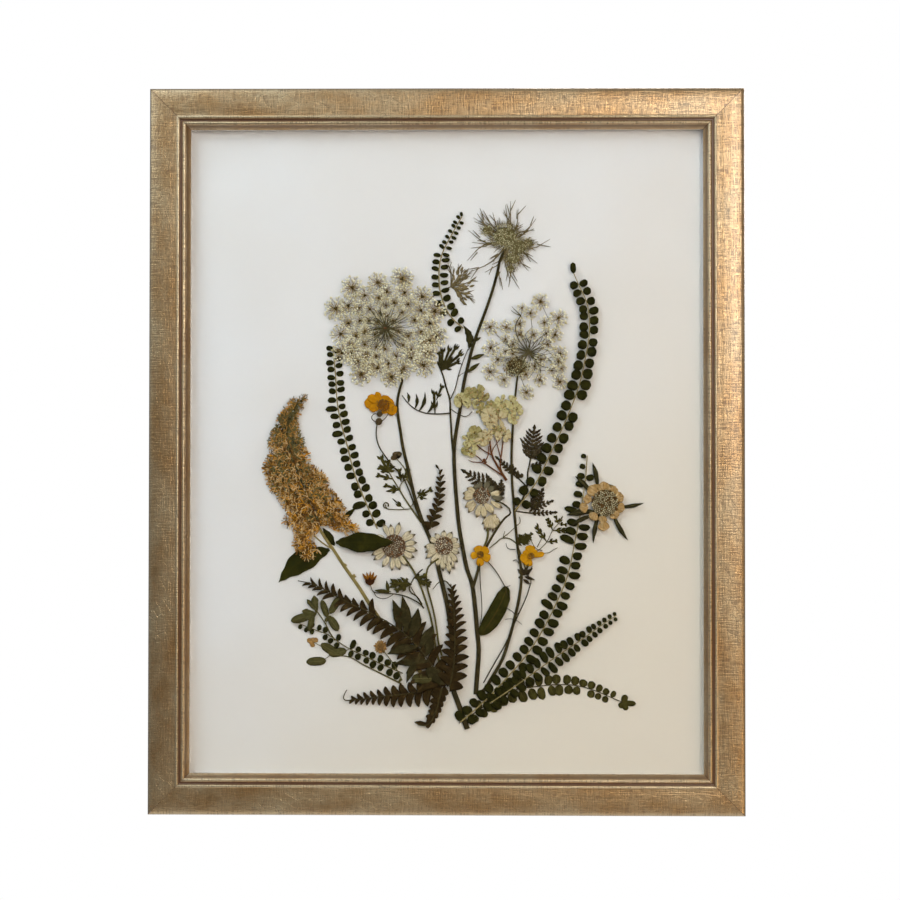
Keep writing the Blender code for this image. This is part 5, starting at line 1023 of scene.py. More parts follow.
pressStems(bm, [([(laceHub[0] - 1, laceHub[1]), (laceHub[0] + 1, laceHub[1] + 0.4)], 1.5, 1.3)], rounding=2,
           flat=0.2, middle=1.14, material=4, vary=0.5)
laceHubSpot = fibre("laceHubSpot", (104, 66, 44), (150, 102, 72), (80, 50, 30))
finishPlant("lace_umbel_left", 2, bm, [laceFloret, lacePedicel, laceHeart, laceRay, laceHubSpot])

rightHeads = [
    (73.5, 117, 7), (65.6, 108, 5.4), (87.5, 104, 7.4), (76.5, 100.5, 5.4), (46.7, 97, 5.6), (34, 97, 6.6),
    (57, 99.5, 5.4), (85, 91, 6), (34.5, 80.6, 6.8), (46, 87.3, 4.6), (88.5, 76, 6.8), (87.5, 70, 6),
    (90, 64.5, 4.6), (40, 71.5, 5.6), (34, 62, 6.8), (45, 55.7, 5.6), (73, 55.7, 5.4), (82.5, 63, 5),
    (88.5, 54, 6.6), (62.5, 46, 6.2), (74, 71.5, 5.4), (68, 91, 5.4), (57, 91, 5), (79, 83.6, 5.6),
    (69, 66.6, 5.4), (52, 83.6, 4.6), (52, 76, 5), (62, 60, 5), (78, 92, 4.6), (59, 112, 4), (46, 78, 4.4)]
rayHub = laceFlower["rayHub"]
bm = pressUmbel(rayHub, rightHeads, sparseUmbellets, 0.6, 0.3, 0.3)
extra = []
for index in range(46):
    turn, reach = index * goldenAngle, pick.uniform(9, 24)
    bend = pick.choice((-1, 1)) * reach * pick.uniform(0.05, 0.3)
    end = pointAt(rayHub, reach, turn)
    middle = ((rayHub[0] + end[0]) / 2 + bend * math.sin(turn),
              (rayHub[1] + end[1]) / 2 - bend * math.cos(turn))
    extra.append(([rayHub, middle, end], 0.36, 0.3))
pressStems(bm, extra, rounding=0, steps=3, flat=0.14, middle=0.7, material=3, vary=0.4)
pressStems(bm, [
    ([rayHub, (57, 86), (54, 98), (58, 106)], 0.7, 0.9), ([(58, 106), (55, 109), (51, 113)], 1.2, 0.4),
    ([(58, 106), (54, 107.5), (50.5, 110)], 1.0, 0.4), ([rayHub, (60, 70), (55.6, 60)], 1.0, 1.8)],
           rounding=1, steps=3, flat=0.2, middle=0.8, material=3, vary=0.2)
domeCentre = (54.6, 66)
pressMound(bm, domeCentre, 8.4, 0.75, 2, squash=0.75, rings=6)
floret = makeFloret(0.4, 0.5)
for index, fill, turn in spiral(150):
    placeCopy(bm, floret, pointAt(domeCentre, 10.5 * fill, turn, 0.8), pick.uniform(0.5, 0.9),
              pick.uniform(0, 6), pick.uniform(0.75, 1.1), pick.random(), pick.choice((4, 2, 4, 1)))
bpy.data.meshes.remove(floret)
finishPlant("lace_umbel_right", 2, bm, [laceFloret, lacePedicel, laceHeart, laceRay, budDome])
print("lace umbels pressed")


# The lace bud: a fuzzy dome held by forked bracts, on the long main stem
def addBract(paths, base, tip, width, pick, forks=2):
    lean = pick.uniform(-0.22, 0.22)
    dx, dz = tip[0] - base[0], tip[1] - base[1]
    bow = (base[0] + dx * 0.5 - dz * lean, base[1] + dz * 0.5 + dx * lean)
    paths.append(([base, bow, tip], width, width * 0.2))
    for fork in range(forks):
        share = pick.uniform(0.45, 0.82)
        side = 1 if fork % 2 else -1
        start = (base[0] + dx * share - dz * lean * 0.8 * (1 - abs(2 * share - 1)),
                 base[1] + dz * share + dx * lean * 0.8 * (1 - abs(2 * share - 1)))
        reach = math.hypot(dx, dz) * pick.uniform(0.2, 0.36)
        turn = math.atan2(dz, dx) + side * pick.uniform(0.2, 0.5)
        paths.append(([start, pointAt(start, reach, turn)], width * 0.6, width * 0.25))


bm = startPlant()
pick = random.Random(11)
budCentre = laceFlower["bud"]
bractTips = [
    (21, 183), (27, 187), (36, 187), (44, 187), (50, 196), (56, 190), (70, 182), (69, 173), (81, 166),
    (69.5, 157), (71, 147), (64, 141), (57, 127), (50, 133), (42, 129), (30, 140), (17.5, 140), (16, 149),
    (20, 163.5), (17, 173), (46, 193), (26.5, 186.5), (63, 160), (33, 150), (38, 180), (60, 178)]
paths = []
for tip in bractTips:
    addBract(paths, budCentre, tip, 1.5, pick)
pressStems(bm, paths, rounding=0, steps=3, flat=0.14, middle=0.3, material=1, vary=0.3)
floret = makeFloret(0.4, 0.55)
hairs = []
for dome, width, height, count in [((45.5, 168), 12.5, 1.1, 260), ((55.5, 160), 9.5, 0.8, 130),
                                   ((52, 151), 7.5, 0.6, 80), ((64, 163), 5, 0.4, 34),
                                   ((32, 173), 5.5, 0.4, 34), ((50, 143), 4, 0.4, 22)]:
    # the mound in budShade is painted shade in the gaps between the florets
    pressMound(bm, dome, width * 0.7, height, 4, squash=0.85, vary=0.4, rings=6)
    for index, fill, turn in spiral(count):
        reach = width * fill
        x, z = pointAt(dome, reach, turn, 0.88)
        top = 0.2 + height * max(0.0, 1 - (reach / width / 0.95) ** 2) ** 0.5
        placeCopy(bm, floret, (x, z), pick.uniform(0.5, 0.85), pick.uniform(0, 6), top, pick.random(),
                  pick.choice((2, 2, 2, 4, 1)))
        if index % 2 == 0 or reach > width * 0.7:
            out = pick.uniform(1.6, 3.6) * (0.4 + reach / width)
            swirl = math.atan2(z - budCentre[1], x - budCentre[0]) + pick.uniform(-0.5, 0.5)
            hairs.append(([(x, -top, z), (x + out * math.cos(swirl), -top - 0.1, z + out * math.sin(swirl))],
                          0.36, 0.16))
pressStems(bm, hairs, rounding=0, steps=1, material=1, vary=0.7, keepDepth=True)
bpy.data.meshes.remove(floret)
budStem = [
    (47, 160), (42, 150), (40, 141), (36, 126), (32, 114), (28, 103), (25, 95), (20, 80), (17, 68),
    (13, 50), (11, 35), (8, 18), (6, 2), (6.5, -20), (8, -40), (10, -60), (13, -77), (16, -92), (20, -104),
    (22, -118), (24, -140), (25.3, -155), (24, -176), (23, -190)]
pressStems(bm, [(budStem, 2.0, 3.6)], rounding=2, material=0, vary=0.2)
pressMany(bm, [((20.5, 86), (27, 89), 1.3), ((18.5, 72), (30, 76), 1.7), ((16.5, 62), (26, 69), 1.7)],
          form="lance", material=3)
finishPlant("lace_bud", 1, bm, [darkStem, budBract, budDome, oliveLeaf, budShade])

bm = startPlant()
paths = [([(5, 130), (3.5, 129), (-5, 125), (-12, 120), (-17, 115)], 1.2, 0.8)]
for tip in [(1, 147.5), (5, 145), (9, 147), (13, 144), (17.5, 144), (23, 135.5), (20, 125), (22.5, 118),
            (14, 116.5), (20, 140), (18, 130)]:
    addBract(paths, laceFlower["smallBud"], tip, 1.3, pick, 3)
pressStems(bm, paths, rounding=0, steps=3, flat=0.14, middle=0.2, material=0, vary=0.2)
for index in range(46):
    turn, reach = pick.uniform(-0.95, 1.25), pick.uniform(3, 15)
    base = pointAt(laceFlower["smallBud"], reach, turn)
    tip = pointAt(base, 4.4, turn + pick.uniform(-0.5, 0.5))
    pressLeaf(bm, base, tip, 0.95, "lance", seed=index, cells=(2, 4), low=0.2)
finishPlant("lace_bud_small", 0, bm, [budBract, darkStem])
print("lace buds pressed")

# Goldenrod: a plume of curled filaments and tiny florets on a pale stem, with two dark leaves

plumeGold = fibre("plumeGold", (124, 84, 36), (210, 154, 80), (96, 64, 28), vary=1.0)
plumeOrange = fibre("plumeOrange", (142, 90, 20), (224, 158, 50), (104, 64, 18), vary=1.0)
plumeGreen = fibre("plumeGreen", (70, 66, 38), (116, 108, 68), (48, 44, 24), vary=1.0)
plumePale = fibre("plumePale", (164, 130, 84), (228, 196, 142), (134, 100, 56), vary=1.0)
# plumeShade and plumeShadeGreen are painted shade: darker copies of the gold and the green for the shadowed
# hollows of the plume
plumeShade = fibre("plumeShade", (74, 50, 20), (116, 80, 36), (50, 34, 14), vary=1.0)
plumeShadeGreen = fibre("plumeShadeGreen", (48, 44, 22), (84, 76, 44), (38, 32, 16), vary=1.0)

plume = {
    "tufts": 620, "bristles": 7, "tuftSize": (2.8, 4.8), "matPitch": 2.3, "matSize": 1.7,
    # bristle finishes of the gold, orange, green, pale and shaded tufts; the dark shade finishes 4 and 5 in
    # them are painted shade
    "mixes": [(0, 0, 0, 4, 3), (1, 1, 1, 3, 4), (2, 5, 2, 2, 0), (3, 0, 0, 4), (4, 0, 1)],
    # x, z, reach
    "greenSpots": [(-113, -15, 5), (-123, -25, 5), (-109, -25, 5), (-98, -38, 4), (-111, -37, 5),
                   (-118, 6, 6), (-128, -6, 5), (-124, -50, 3), (-111, 38, 12), (-122, 24, 6), (-126, 12, 5),
                   (-92, -52, 4), (-104, -52, 4), (-116, 16, 4), (-132, -16, 4)],
}
plumeOutline = [
    (-109, 46), (-110.5, 40), (-113.5, 34), (-117, 28), (-117, 20), (-115.5, 14), (-113, 5), (-109, -3),
    (-109, -9), (-103, -15), (-97, -18), (-93, -24), (-92, -31), (-86, -36), (-80, -46), (-79, -52),
    (-73, -56), (-69, -62.5), (-78, -64), (-88, -61), (-95, -59), (-101, -64), (-106, -69), (-99, -77),
    (-105, -84), (-111, -84), (-118, -77), (-119, -66), (-116, -60), (-127, -57), (-123, -47), (-130, -41),
    (-132, -34), (-137, -30), (-140, -21), (-143, -14), (-139, -5), (-136, -1), (-139, 5), (-136, 13),
    (-132, 22), (-131, 30), (-125, 33), (-121, 40), (-115, 41)]


def insideOutline(outline, x, z):
    inside = False
    for (ax, az), (bx, bz) in zip(outline, outline[1:] + outline[:1]):
        if (az > z) != (bz > z) and x < (bx - ax) * (z - az) / (bz - az) + ax:
            inside = not inside
    return inside


def edgeDistance(outline, x, z):
    return min(math.hypot(x - ax - share * (bx - ax), z - az - share * (bz - az))
               for (ax, az), (bx, bz) in zip(outline, outline[1:] + outline[:1])
               for share in (min(max(((x - ax) * (bx - ax) + (z - az) * (bz - az))
                                     / ((bx - ax) ** 2 + (bz - az) ** 2), 0.0), 1.0),))


# A tuft: bristles that fan out of one point, most of them ahead of it
def makeTuft(seed, finishes):
    pick = random.Random(seed)
    bm = startPlant()
    for bristle in range(plume["bristles"]):
        lean = (bristle / (plume["bristles"] - 1) - 0.5) * 2.3 + pick.uniform(-0.2, 0.2)
        reach = pick.uniform(0.6, 1.1)
        curl = pick.uniform(-0.5, 0.5)
        path = []
        for step in range(3):
            turn = lean + curl * step / 2
            share = reach * step / 2
            height = 0.06 + 0.3 * math.sin(step) * abs(curl)
            path.append((share * math.cos(turn), -height, share * math.sin(turn)))
        pressStems(bm, [(path, 0.12, 0.16)], rounding=0, steps=1, keepDepth=True, vary=pick.random(),
                   material=pick.choice(finishes))
    return makeMesh(bm, "tuft")


plumeSpine = [(-95, -66), (-103, -50), (-108, -36), (-114, -22), (-119, -8), (-124, 6), (-125, 18),
              (-121, 30),
              (-113, 42)]


# The finish of the tuft at a place: green spots, then a mix for each third of the plume; finish 4, the shaded
# tufts, is painted shade
def plumeFinishAt(pick, x, z):
    if any(math.dist((x, z), spot[:2]) < spot[2] * pick.uniform(0.4, 1.1) for spot in plume["greenSpots"]):
        return 2
    upper = (z + 84) / 130
    if upper > 0.68:
        return pick.choices((0, 2, 4), (1.6, 6, 1.4))[0]
    if upper > 0.35:
        return pick.choices((0, 1, 3, 2), (5, 2.4, 0.8, 3.2))[0]
    return pick.choices((0, 1, 3, 4), (3, 6, 0.4, 1.6))[0]


def makeGoldenrod():
    pick = random.Random(5)
    bm = startPlant()
    pitch = plume["matPitch"]
    # A mat of low mounds in the two shade finishes lies under the tufts: painted shade that shows as dark
    # hollows between them
    for column in range(int(76 / pitch)):
        for row in range(int(132 / pitch)):
            x = -143 + pitch * (column + pick.uniform(0.2, 0.8))
            z = -84 + pitch * (row + pick.uniform(0.2, 0.8))
            inward = edgeDistance(plumeOutline, x, z)
            if not insideOutline(plumeOutline, x, z) or inward < (3.0 if z < 22 else 1.2):
                continue
            rise = min(inward / 9, 1.0)
            green = plumeFinishAt(pick, x, z) == 2 or pick.random() < (z + 50) / 70
            pressMound(bm, (x, z), plume["matSize"] * pick.uniform(0.8, 1.3),
                       0.5 + rise * pick.uniform(0.2, 0.7), 5 if green else 4, vary=pick.random(), rings=3)
    tufts = [[makeTuft(seed, finishes) for seed in range(4)] for finishes in plume["mixes"]]
    placed = []
    while len(placed) < plume["tufts"]:
        x, z = pick.uniform(-143, -69), pick.uniform(-84, 46)
        if not insideOutline(plumeOutline, x, z):
            continue
        if pick.random() < 0.85 and any(abs(x - other[0]) + abs(z - other[1]) < 2.0 for other in placed):
            continue
        placed.append((x, z))
        distance = edgeDistance(plumeOutline, x, z)
        rise = min(distance / 8, 1.0)
        nearest, heading = onSpine(plumeSpine, nearestTravel(plumeSpine, (x, z)))
        out = math.atan2(z - nearest[1], x - nearest[0]) + pick.gauss(0, 0.35)
        climb = math.atan2(heading[1], heading[0])
        turn = out + 0.35 * math.sin(climb - out)
        shortest, longest = plume["tuftSize"]
        size = pick.uniform(shortest, longest) * (0.8 if z > 20 else 1.0)
        back = max(0.0, size - distance - 3.0)        # tufts by the edge only just pass it
        tuft = pick.choice(tufts[plumeFinishAt(pick, x, z)])
        placeCopy(bm, tuft, pointAt((x, z), -back, turn), size, -turn, 0.35 + rise * pick.uniform(0.4, 1.15))
    for mesh in sum(tufts, []):
        bpy.data.meshes.remove(mesh)
    finishPlant("goldenrod_plume", 2, bm, [plumeGold, plumeOrange, plumeGreen, plumePale, plumeShade,
                                           plumeShadeGreen])

    bm = startPlant()
    pressStems(bm, [
        ([(-101, -58), (-95, -68), (-88, -78), (-81.5, -88), (-74.5, -98), (-67.5, -108), (-60, -120),
          (-48, -137), (-36, -152), (-26, -165), (-18.5, -175)], 2.2, 3.2),
        ([(-104, -66), (-97, -72), (-89, -77)], 1.0, 1.2), ([(-80.5, -89), (-78.6, -90.6)], 3.4, 3.4),
        ([(-73.5, -97), (-71.8, -99.4)], 3.4, 3.4)], rounding=2, vary=0.5)
    pressLeaf(bm, (-87.5, -74), (-97, -60), 3.2, "lance", seed=2, material=1, cells=(5, 12))
    pressLeaf(bm, (-84, -56), (-70.6, -44), 2.2, "lance", seed=4, material=1, cells=(5, 12))
    finishPlant("goldenrod_stem", 0, bm, [paleStem, darkLeaf])

    broad = {"cells": (10, 24), "ripple": 0.3, "cup": 0.1, "vary": 0.4}
    bm = startPlant()
    pressLeaf(bm, (-91.5, -77), (-131.3, -102.8), 9.0, "lance", seed=6, bend=0.09, **broad)
    finishPlant("goldenrod_leaf_left", 0, bm, [broadLeaf])
    bm = startPlant()
    pressLeaf(bm, (-86.4, -71.5), (-40.6, -71.2), 7.9, "lance", seed=7, **broad)
    finishPlant("goldenrod_leaf_right", 5, bm, [broadLeaf])


broadLeaf = tissue("broadLeaf", (38, 38, 4), (74, 70, 16), (32, 30, 6), (56, 52, 12), mottle=90.0,
                   veinShare=0.35, fineVeins=7.0)
makeGoldenrod()
print("goldenrod pressed")

# Heads of florets and seeds: small knobs laid in a spiral

def pressHead(bm, centre, radius, count, size, height, materials, seed, base, knob=(0.5, 0.55), rise=0.4):
    pick = random.Random(seed)
    floret = makeFloret(*knob)
    pressMound(bm, centre, radius, height, base, rise=rise)
    for index, fill, turn in spiral(count):
        top = rise + height / 2 * (1 + math.sqrt(1 - fill * fill)) + 0.12
        placeCopy(bm, floret, pointAt(centre, radius * fill, turn), size * pick.uniform(0.75, 1.2),
                  pick.uniform(0, 6.28), top + pick.uniform(0, 0.12), pick.random(), pick.choice(materials))
    bpy.data.meshes.remove(floret)


# The point at a share of the way from one point to another
def partWay(base, tip, share):
    return base[0] + (tip[0] - base[0]) * share, base[1] + (tip[1] - base[1]) * share


# Broad petals round a centre, each given by its tip and half width
def pressPetals(bm, centre, petals, start=0.12, cells=(6, 10), **look):
    for index, (x, z, half) in enumerate(petals):
        pressLeaf(bm, partWay(centre, (x, z), start), (x, z), half, "petal", seed=index + 31, cells=cells,
                  low=0.1 + 0.1 * (index % 3), **look)


hydrangea = {
    # x, z, reach, finish: 0 cream green, 1 pinkish cream, 4 yellow green
    "florets": [(18, 45.6, 5.2, 4), (24.3, 46.6, 5.8, 4), (29, 43, 4.8, 4), (19.6, 38, 5.6, 0),
                (25.8, 38.5, 4.4, 4),
                (11.5, 39.5, 6.6, 0), (43, 38, 6, 0), (50.5, 38, 6, 0), (54.6, 32.4, 5.4, 0),
                (49.3, 30, 6.4, 0),
                (52.8, 25.4, 5, 0), (41, 32.4, 5.4, 4), (34, 36, 4.2, 4), (33.7, 27.7, 7.8, 1),
                (41.5, 25.4, 6.8, 1),
                (34.5, 21.8, 5.4, 1), (22.7, 13.7, 6.6, 4), (17.4, 9, 5.8, 0), (28.4, 9.5, 6.2, 1),
                (22, 5.5, 5.4, 0),
                (31.5, 12.5, 5, 1), (15.4, 0.4, 4.2, 4), (19.6, -1.7, 3.6, 0), (44.6, 12.6, 6.6, 1),
                (43, 17, 4.2, 4), (38.4, 17, 4.2, 4), (26.5, 31.5, 4.2, 4)],
    "petals": 4, "knots": 250, "foldedShare": 0.3,
}


def makeHydrangea():
    pick = random.Random(8)
    bm = startPlant()
    for index, (x, z, radius, finish) in enumerate(hydrangea["florets"]):
        turn = pick.uniform(0, 1.5)
        petals = hydrangea["petals"] - (1 if index % 5 == 4 else 0)
        step = 0.22 if finish == 1 else 0.0
        for petal in range(petals):
            angle = turn + petal * 2 * math.pi / petals + pick.uniform(-0.2, 0.2)
            reach = radius * pick.uniform(0.86, 1.1)
            folded = 0.5 if pick.random() < hydrangea["foldedShare"] else 1.0
            pressLeaf(bm, pointAt((x, z), 0.08 * reach, angle), pointAt((x, z), reach, angle),
                      radius * pick.uniform(0.48, 0.66) * folded, "petal", seed=index * 5 + petal,
                      cells=(6, 8),
                      ripple=0.4, cup=0.12, low=0.12 + 0.14 * (petal % 3) + step, high=1.0 + step,
                      material=finish, bend=pick.uniform(-0.1, 0.1))
        for dot in range(3):
            pressStems(bm, [([(x, z), (x + pick.uniform(-1.4, 1.4), z + pick.uniform(-1.4, 1.4))], 0.6, 0.4)],
                       steps=1, rounding=0, material=2, middle=0.8 + step, flat=0.14)
    floret = makeFloret(0.4, 0.5)
    for index in range(hydrangea["knots"]):
        x, z, radius, finish = pick.choice(hydrangea["florets"])
        angle, reach = pick.uniform(0, 6.28), pick.uniform(0.1, 0.8) * radius
        placeCopy(bm, floret, pointAt((x, z), reach, angle), pick.uniform(0.35, 0.8),
                  pick.uniform(0, 6.28), pick.uniform(1.05, 1.3), pick.random(), pick.choice((2, 3, 3)))
    bpy.data.meshes.remove(floret)
    finishPlant("hydrangea_florets", 3, bm, [paperFloret, pinkFloret, floretKnot, plumePale, limeFloret])
    bm = startPlant()
    pressStems(bm, [
        ([(33, 20), (34, 8), (35.5, -3), (39, -11), (43, -17), (47, -23)], 1.2, 2.6),
        ([(44.5, 12), (43.5, -2), (42, -13), (45.5, -21)], 1.2, 1.4),
        ([(17, 10), (22, 6), (28, 1), (35, -3)], 0.9, 1.1), ([(33, 4), (31.5, -6), (28.5, -8)], 0.9, 1.3),
        ([(17, -7), (21, -8.8), (28.5, -8.8), (36, -14), (46, -21)], 0.7, 1.5),
        ([(20, -2), (25, -5), (29, -8.5)], 0.7, 1.0), ([(41.5, 9), (37, 3), (35, -1)], 0.8, 0.9),
        ([(29, -6), (31, -9.5)], 2.2, 2.4), ([(24, 5), (20, -1)], 0.7, 0.6),
        ([(38, 12), (40.5, 2), (42.5, -6)], 0.9, 1.0)], rounding=1, wiggle=0.8, vary=0.4)
    finishPlant("hydrangea_stalks", 2, bm, [redStalk])


pinkFloret = tissue("pinkFloret", (196, 182, 142), (228, 216, 182), (164, 140, 98), (158, 128, 88),
                    fineVeins=5.0, veinShare=0.6)
limeFloret = tissue("limeFloret", (154, 144, 92), (212, 204, 150), (128, 104, 52), (110, 88, 42),
                    fineVeins=5.0, veinShare=0.5, rimShare=0.3)
floretKnot = fibre("floretKnot", (92, 74, 34), (150, 128, 66), (70, 50, 24))
makeHydrangea()
print("hydrangea pressed")


# Masterwort: a ruff of narrow bracts round a speckled cushion of florets

bractHead = fibre("bractHead", (140, 126, 102), (236, 226, 202), (88, 68, 50), vary=1.0)
bractHeart = fibre("bractHeart", (66, 48, 34), (116, 92, 68), (142, 118, 90), vary=1.0)
pinkBract = tissue("pinkBract", (200, 184, 148), (252, 240, 216), (84, 66, 44), (150, 128, 92),
                   tipShare=0.95, rimShare=0.6, fineVeins=0.0, veinShare=0.6)
greyBract = tissue("greyBract", (104, 98, 78), (160, 152, 128), (66, 56, 42), (92, 84, 64),
                   tipShare=0.7, fineVeins=0.0, veinShare=0.6)
bractAnther = fibre("bractAnther", (124, 86, 58), (184, 140, 102), (90, 60, 38), vary=1.0)


def makeMasterwort(name, layer, centre, radius, tips, stems, half=2.5, count=90, leaf=creamBract, start=0.45,
                   stalk=oliveStem, grey=()):
    bm = startPlant()
    pick = random.Random(len(tips))
    for index, tip in enumerate(tips):
        pressLeaf(bm, partWay(centre, tip, start), tip, half * pick.uniform(0.85, 1.1), "bract", seed=index,
                  cells=(6, 12), bend=pick.uniform(-0.07, 0.07), ripple=0.2, cup=0.16,
                  low=0.06 + 0.09 * (index % 3), material=5 if tip in grey else 0)
    if count:
        pressMound(bm, centre, radius, 0.4, 1, rise=0.3)
    hairs, tops = [], makeFloret(0.7, 0.6)
    for index, fill, turn in spiral(count):
        x, z = pointAt(centre, radius * fill, turn)
        swirl, out = turn + pick.uniform(-0.7, 0.7), pick.uniform(0.8, 2.2)
        outerX, outerZ = pointAt((x, z), out, swirl)
        hairs.append(([(x, -0.75, z), (outerX, -pick.uniform(0.8, 1.2), outerZ)], 0.26, 0.2))
        if radius * fill <= radius * 0.7 or pick.random() < 0.6:
            placeCopy(bm, tops, (x, z), pick.uniform(0.5, 0.9), pick.uniform(0, 6.28),
                      pick.uniform(0.8, 1.05),
                      pick.random(), 2 if pick.random() < 0.8 else 4)
    if count:
        pressStems(bm, hairs[int(count * 0.5):], rounding=0, steps=1, material=4, keepDepth=True, vary=0.4)
    bpy.data.meshes.remove(tops)
    pressStems(bm, stems, rounding=2, material=3, vary=0.4)
    finishPlant(name, layer, bm, [leaf, bractHeart, bractHead, stalk, bractAnther, greyBract])


makeMasterwort("masterwort_left", 2, (-41, -74.5), 9.2,
               [(-49.6, -56.5), (-43.7, -57), (-36.8, -55.5), (-27.6, -62), (-24, -65), (-22.8, -71.6),
                (-22.4, -78), (-24.7, -83.3), (-30, -89.9), (-36.3, -93.2), (-42.7, -94), (-50.3, -91),
                (-57.2, -85.3), (-58.8, -81.5), (-57, -76), (-56, -66)],
               [([(-34, -82), (-28, -90), (-24, -97), (-20, -106), (-16.5, -116), (-13, -127),
                  (-10.6, -138), (-9, -149), (-7, -159), (-4, -170)], 1.6, 1.7)], half=2.4, count=112)
makeMasterwort("masterwort_centre", 2, (-2, -74), 7.2,
               [(-9.1, -64.2), (-1.7, -61.7), (4.6, -63), (9.4, -68.4), (12, -74), (10.4, -80), (9.1, -87),
                (6.5, -92.3), (2.6, -96.4), (-2.6, -94.2), (-7.8, -91), (3.9, -89.2), (-12.8, -87.8),
                (-16.3, -84.4), (-16.6, -79.4), (-17.6, -75), (-14, -68), (0, -90)],
               [([(-6, -84), (-14, -90.5), (-15.6, -98), (-14.8, -107), (-12, -117.5), (-9, -130),
                  (-7.4, -140), (-6, -150), (-3.5, -160)], 1.4, 1.5)], half=2.5, count=76, start=0.4)
makeMasterwort("masterwort_right", 3, (27.5, -35), 6.4,
               [(12.6, -37.2), (12.6, -32.8), (15.7, -28.8), (22.2, -25), (26.1, -23), (33.5, -23.4),
                (37.8, -27.5), (43, -32), (45.6, -36.5), (44, -44.4), (36.6, -49.5), (30, -53), (23.5, -52.2),
                (17, -48.5), (14.3, -44), (27, -49), (34, -47)],
               [([(38, -39), (44, -41), (50, -48.2), (46, -52), (40, -60), (34, -70), (29, -80),
                  (25, -92), (22.5, -101), (20.6, -107)], 1.0, 2.6)], half=2.5, count=60, leaf=pinkBract,
               stalk=darkStem, grey=((22.2, -25), (26.1, -23), (33.5, -23.4), (37.8, -27.5), (45.6, -36.5)))
makeMasterwort("masterwort_low", 1, (35.5, -50), 3,
               [(27.4, -57.3), (29.4, -61.9), (33.9, -62.6), (38.5, -61.9), (42.6, -56.7), (39.8, -52.1),
                (31, -63), (36.2, -63.5), (41.2, -60)],
               [([(32.5, -60), (32, -68), (29, -76), (26.5, -84), (24.5, -92)], 1.6, 1.8)], half=2.1, count=0,
               leaf=pinkBract, start=0.0)
print("masterworts pressed")

# Yellow and orange flowers

budPod = tissue("budPod", (84, 68, 46), (132, 116, 84), (66, 48, 30), (80, 62, 40))
anther = fibre("anther", (120, 76, 10), (186, 130, 24), (84, 52, 12), vary=1.0)
darkSeed = fibre("darkSeed", (64, 52, 36), (108, 92, 62), (40, 30, 18), vary=1.0)


def makeYellowFlower(name, layer, centre, petals, head, headCount, stems, height):
    bm = startPlant()
    pressPetals(bm, centre, petals, cells=(8, 8), ripple=0.14, cup=0.1, start=0.05)
    for origin, radius in head:
        pressHead(bm, origin, radius, headCount, 0.5, height, (1, 2, 4, 2), seed=2, base=1)
    pressStems(bm, stems, rounding=1, material=3, vary=0.3)
    finishPlant(name, layer, bm, [yellowPetal, anther, darkSeed, darkStem, plumeOrange])


makeYellowFlower(
    "buttercup_left", 4, (26.4, -81),
    [(24, -74, 3.6), (32.4, -75.6, 3.5), (18.8, -81.7, 2.9), (26.3, -90, 3.1), (34.4, -84.5, 3.4)],
    [((26.4, -80.8), 2.7)], 40,
    [([(26, -88), (26.5, -104), (27.5, -116), (27.6, -128), (26.5, -135)], 1.0, 0.7)], 0.8)
makeYellowFlower(
    "buttercup_right", 2, (65, -82.5), [(65.5, -73.4, 3.9), (71, -78, 3.6), (57.8, -84.5, 3.8),
                                        (63.5, -90, 3.4), (60, -78.5, 3.0), (76.5, -80, 2.2)],
    [((66, -82), 2.6)], 30, [([(64, -88), (62.5, -95), (66, -101), (65, -106), (62, -115), (57, -126),
                               (53, -135), (46.5, -150), (38, -165), (29, -181)], 0.9, 1.2),
                             ([(64, -90), (60.5, -97)], 1.0, 0.8), ([(67, -90), (63.5, -98)], 0.9, 0.7)],
    1.4)

bm = startPlant()
pressPetals(
    bm, (-49.5, 36), [(-39.2, 30.2, 4.4), (-46.5, 29.6, 3.6), (-60.5, 32.6, 3.2), (-46, 43.2, 4.0),
                      (-41, 38, 3.6), (-61.5, 43, 3.4), (-64.4, 38, 4.4), (-55.2, 46.2, 2.5)], cells=(8, 8),
    ripple=0.14, cup=0.08, start=0.08)
pressHead(bm, (-49.4, 35.8), 4.8, 44, 0.6, 0.4, (3, 2, 3, 3), seed=4, base=1)
floret = makeFloret(0.4, 0.6)
pick = random.Random(6)
for index in range(26):
    place = pointAt((-48, 35.5), pick.uniform(5, 8.5), index * goldenAngle, 0.7)
    placeCopy(bm, floret, place, 0.42, 0, 0.8, 0.3, 3)
bpy.data.meshes.remove(floret)
pressStems(bm, [
    ([(-54, 23), (-55, 15), (-54.5, 9), (-52.5, 3), (-48, -4), (-41, -13), (-34.5, -20), (-30.5, -28),
      (-27, -37), (-24, -45), (-20.5, -53)], 1.1, 1.3)], material=4, vary=0.3)
pressStems(bm, [
    ([(-54, 22), (-58.5, 25.5), (-56.5, 29), (-52.5, 28)], 0.8, 0.5),
    ([(-53, 22), (-48.5, 25), (-45.5, 29)], 0.8, 0.5), ([(-54, 22), (-52, 26)], 0.9, 0.6)], material=5,
           vary=0.7, rounding=0)
pressLeaf(bm, (-54.5, 20.5), (-51.5, 25.5), 2.6, "oval", material=5, seed=3)
pressLeaf(bm, (-53.5, 27), (-51, 31), 2.2, "oval", material=5, seed=5)
orangeShade = tissue("orangeShade", (140, 84, 8), (170, 108, 12), (110, 64, 8), (110, 60, 8))
finishPlant("orange_flower", 2, bm, [orangePetal, orangeShade, anther, darkSeed, darkStem, budPod])
print("yellow and orange flowers pressed")

# Scabious: ruffled petals and narrow bracts round a disc of seeds

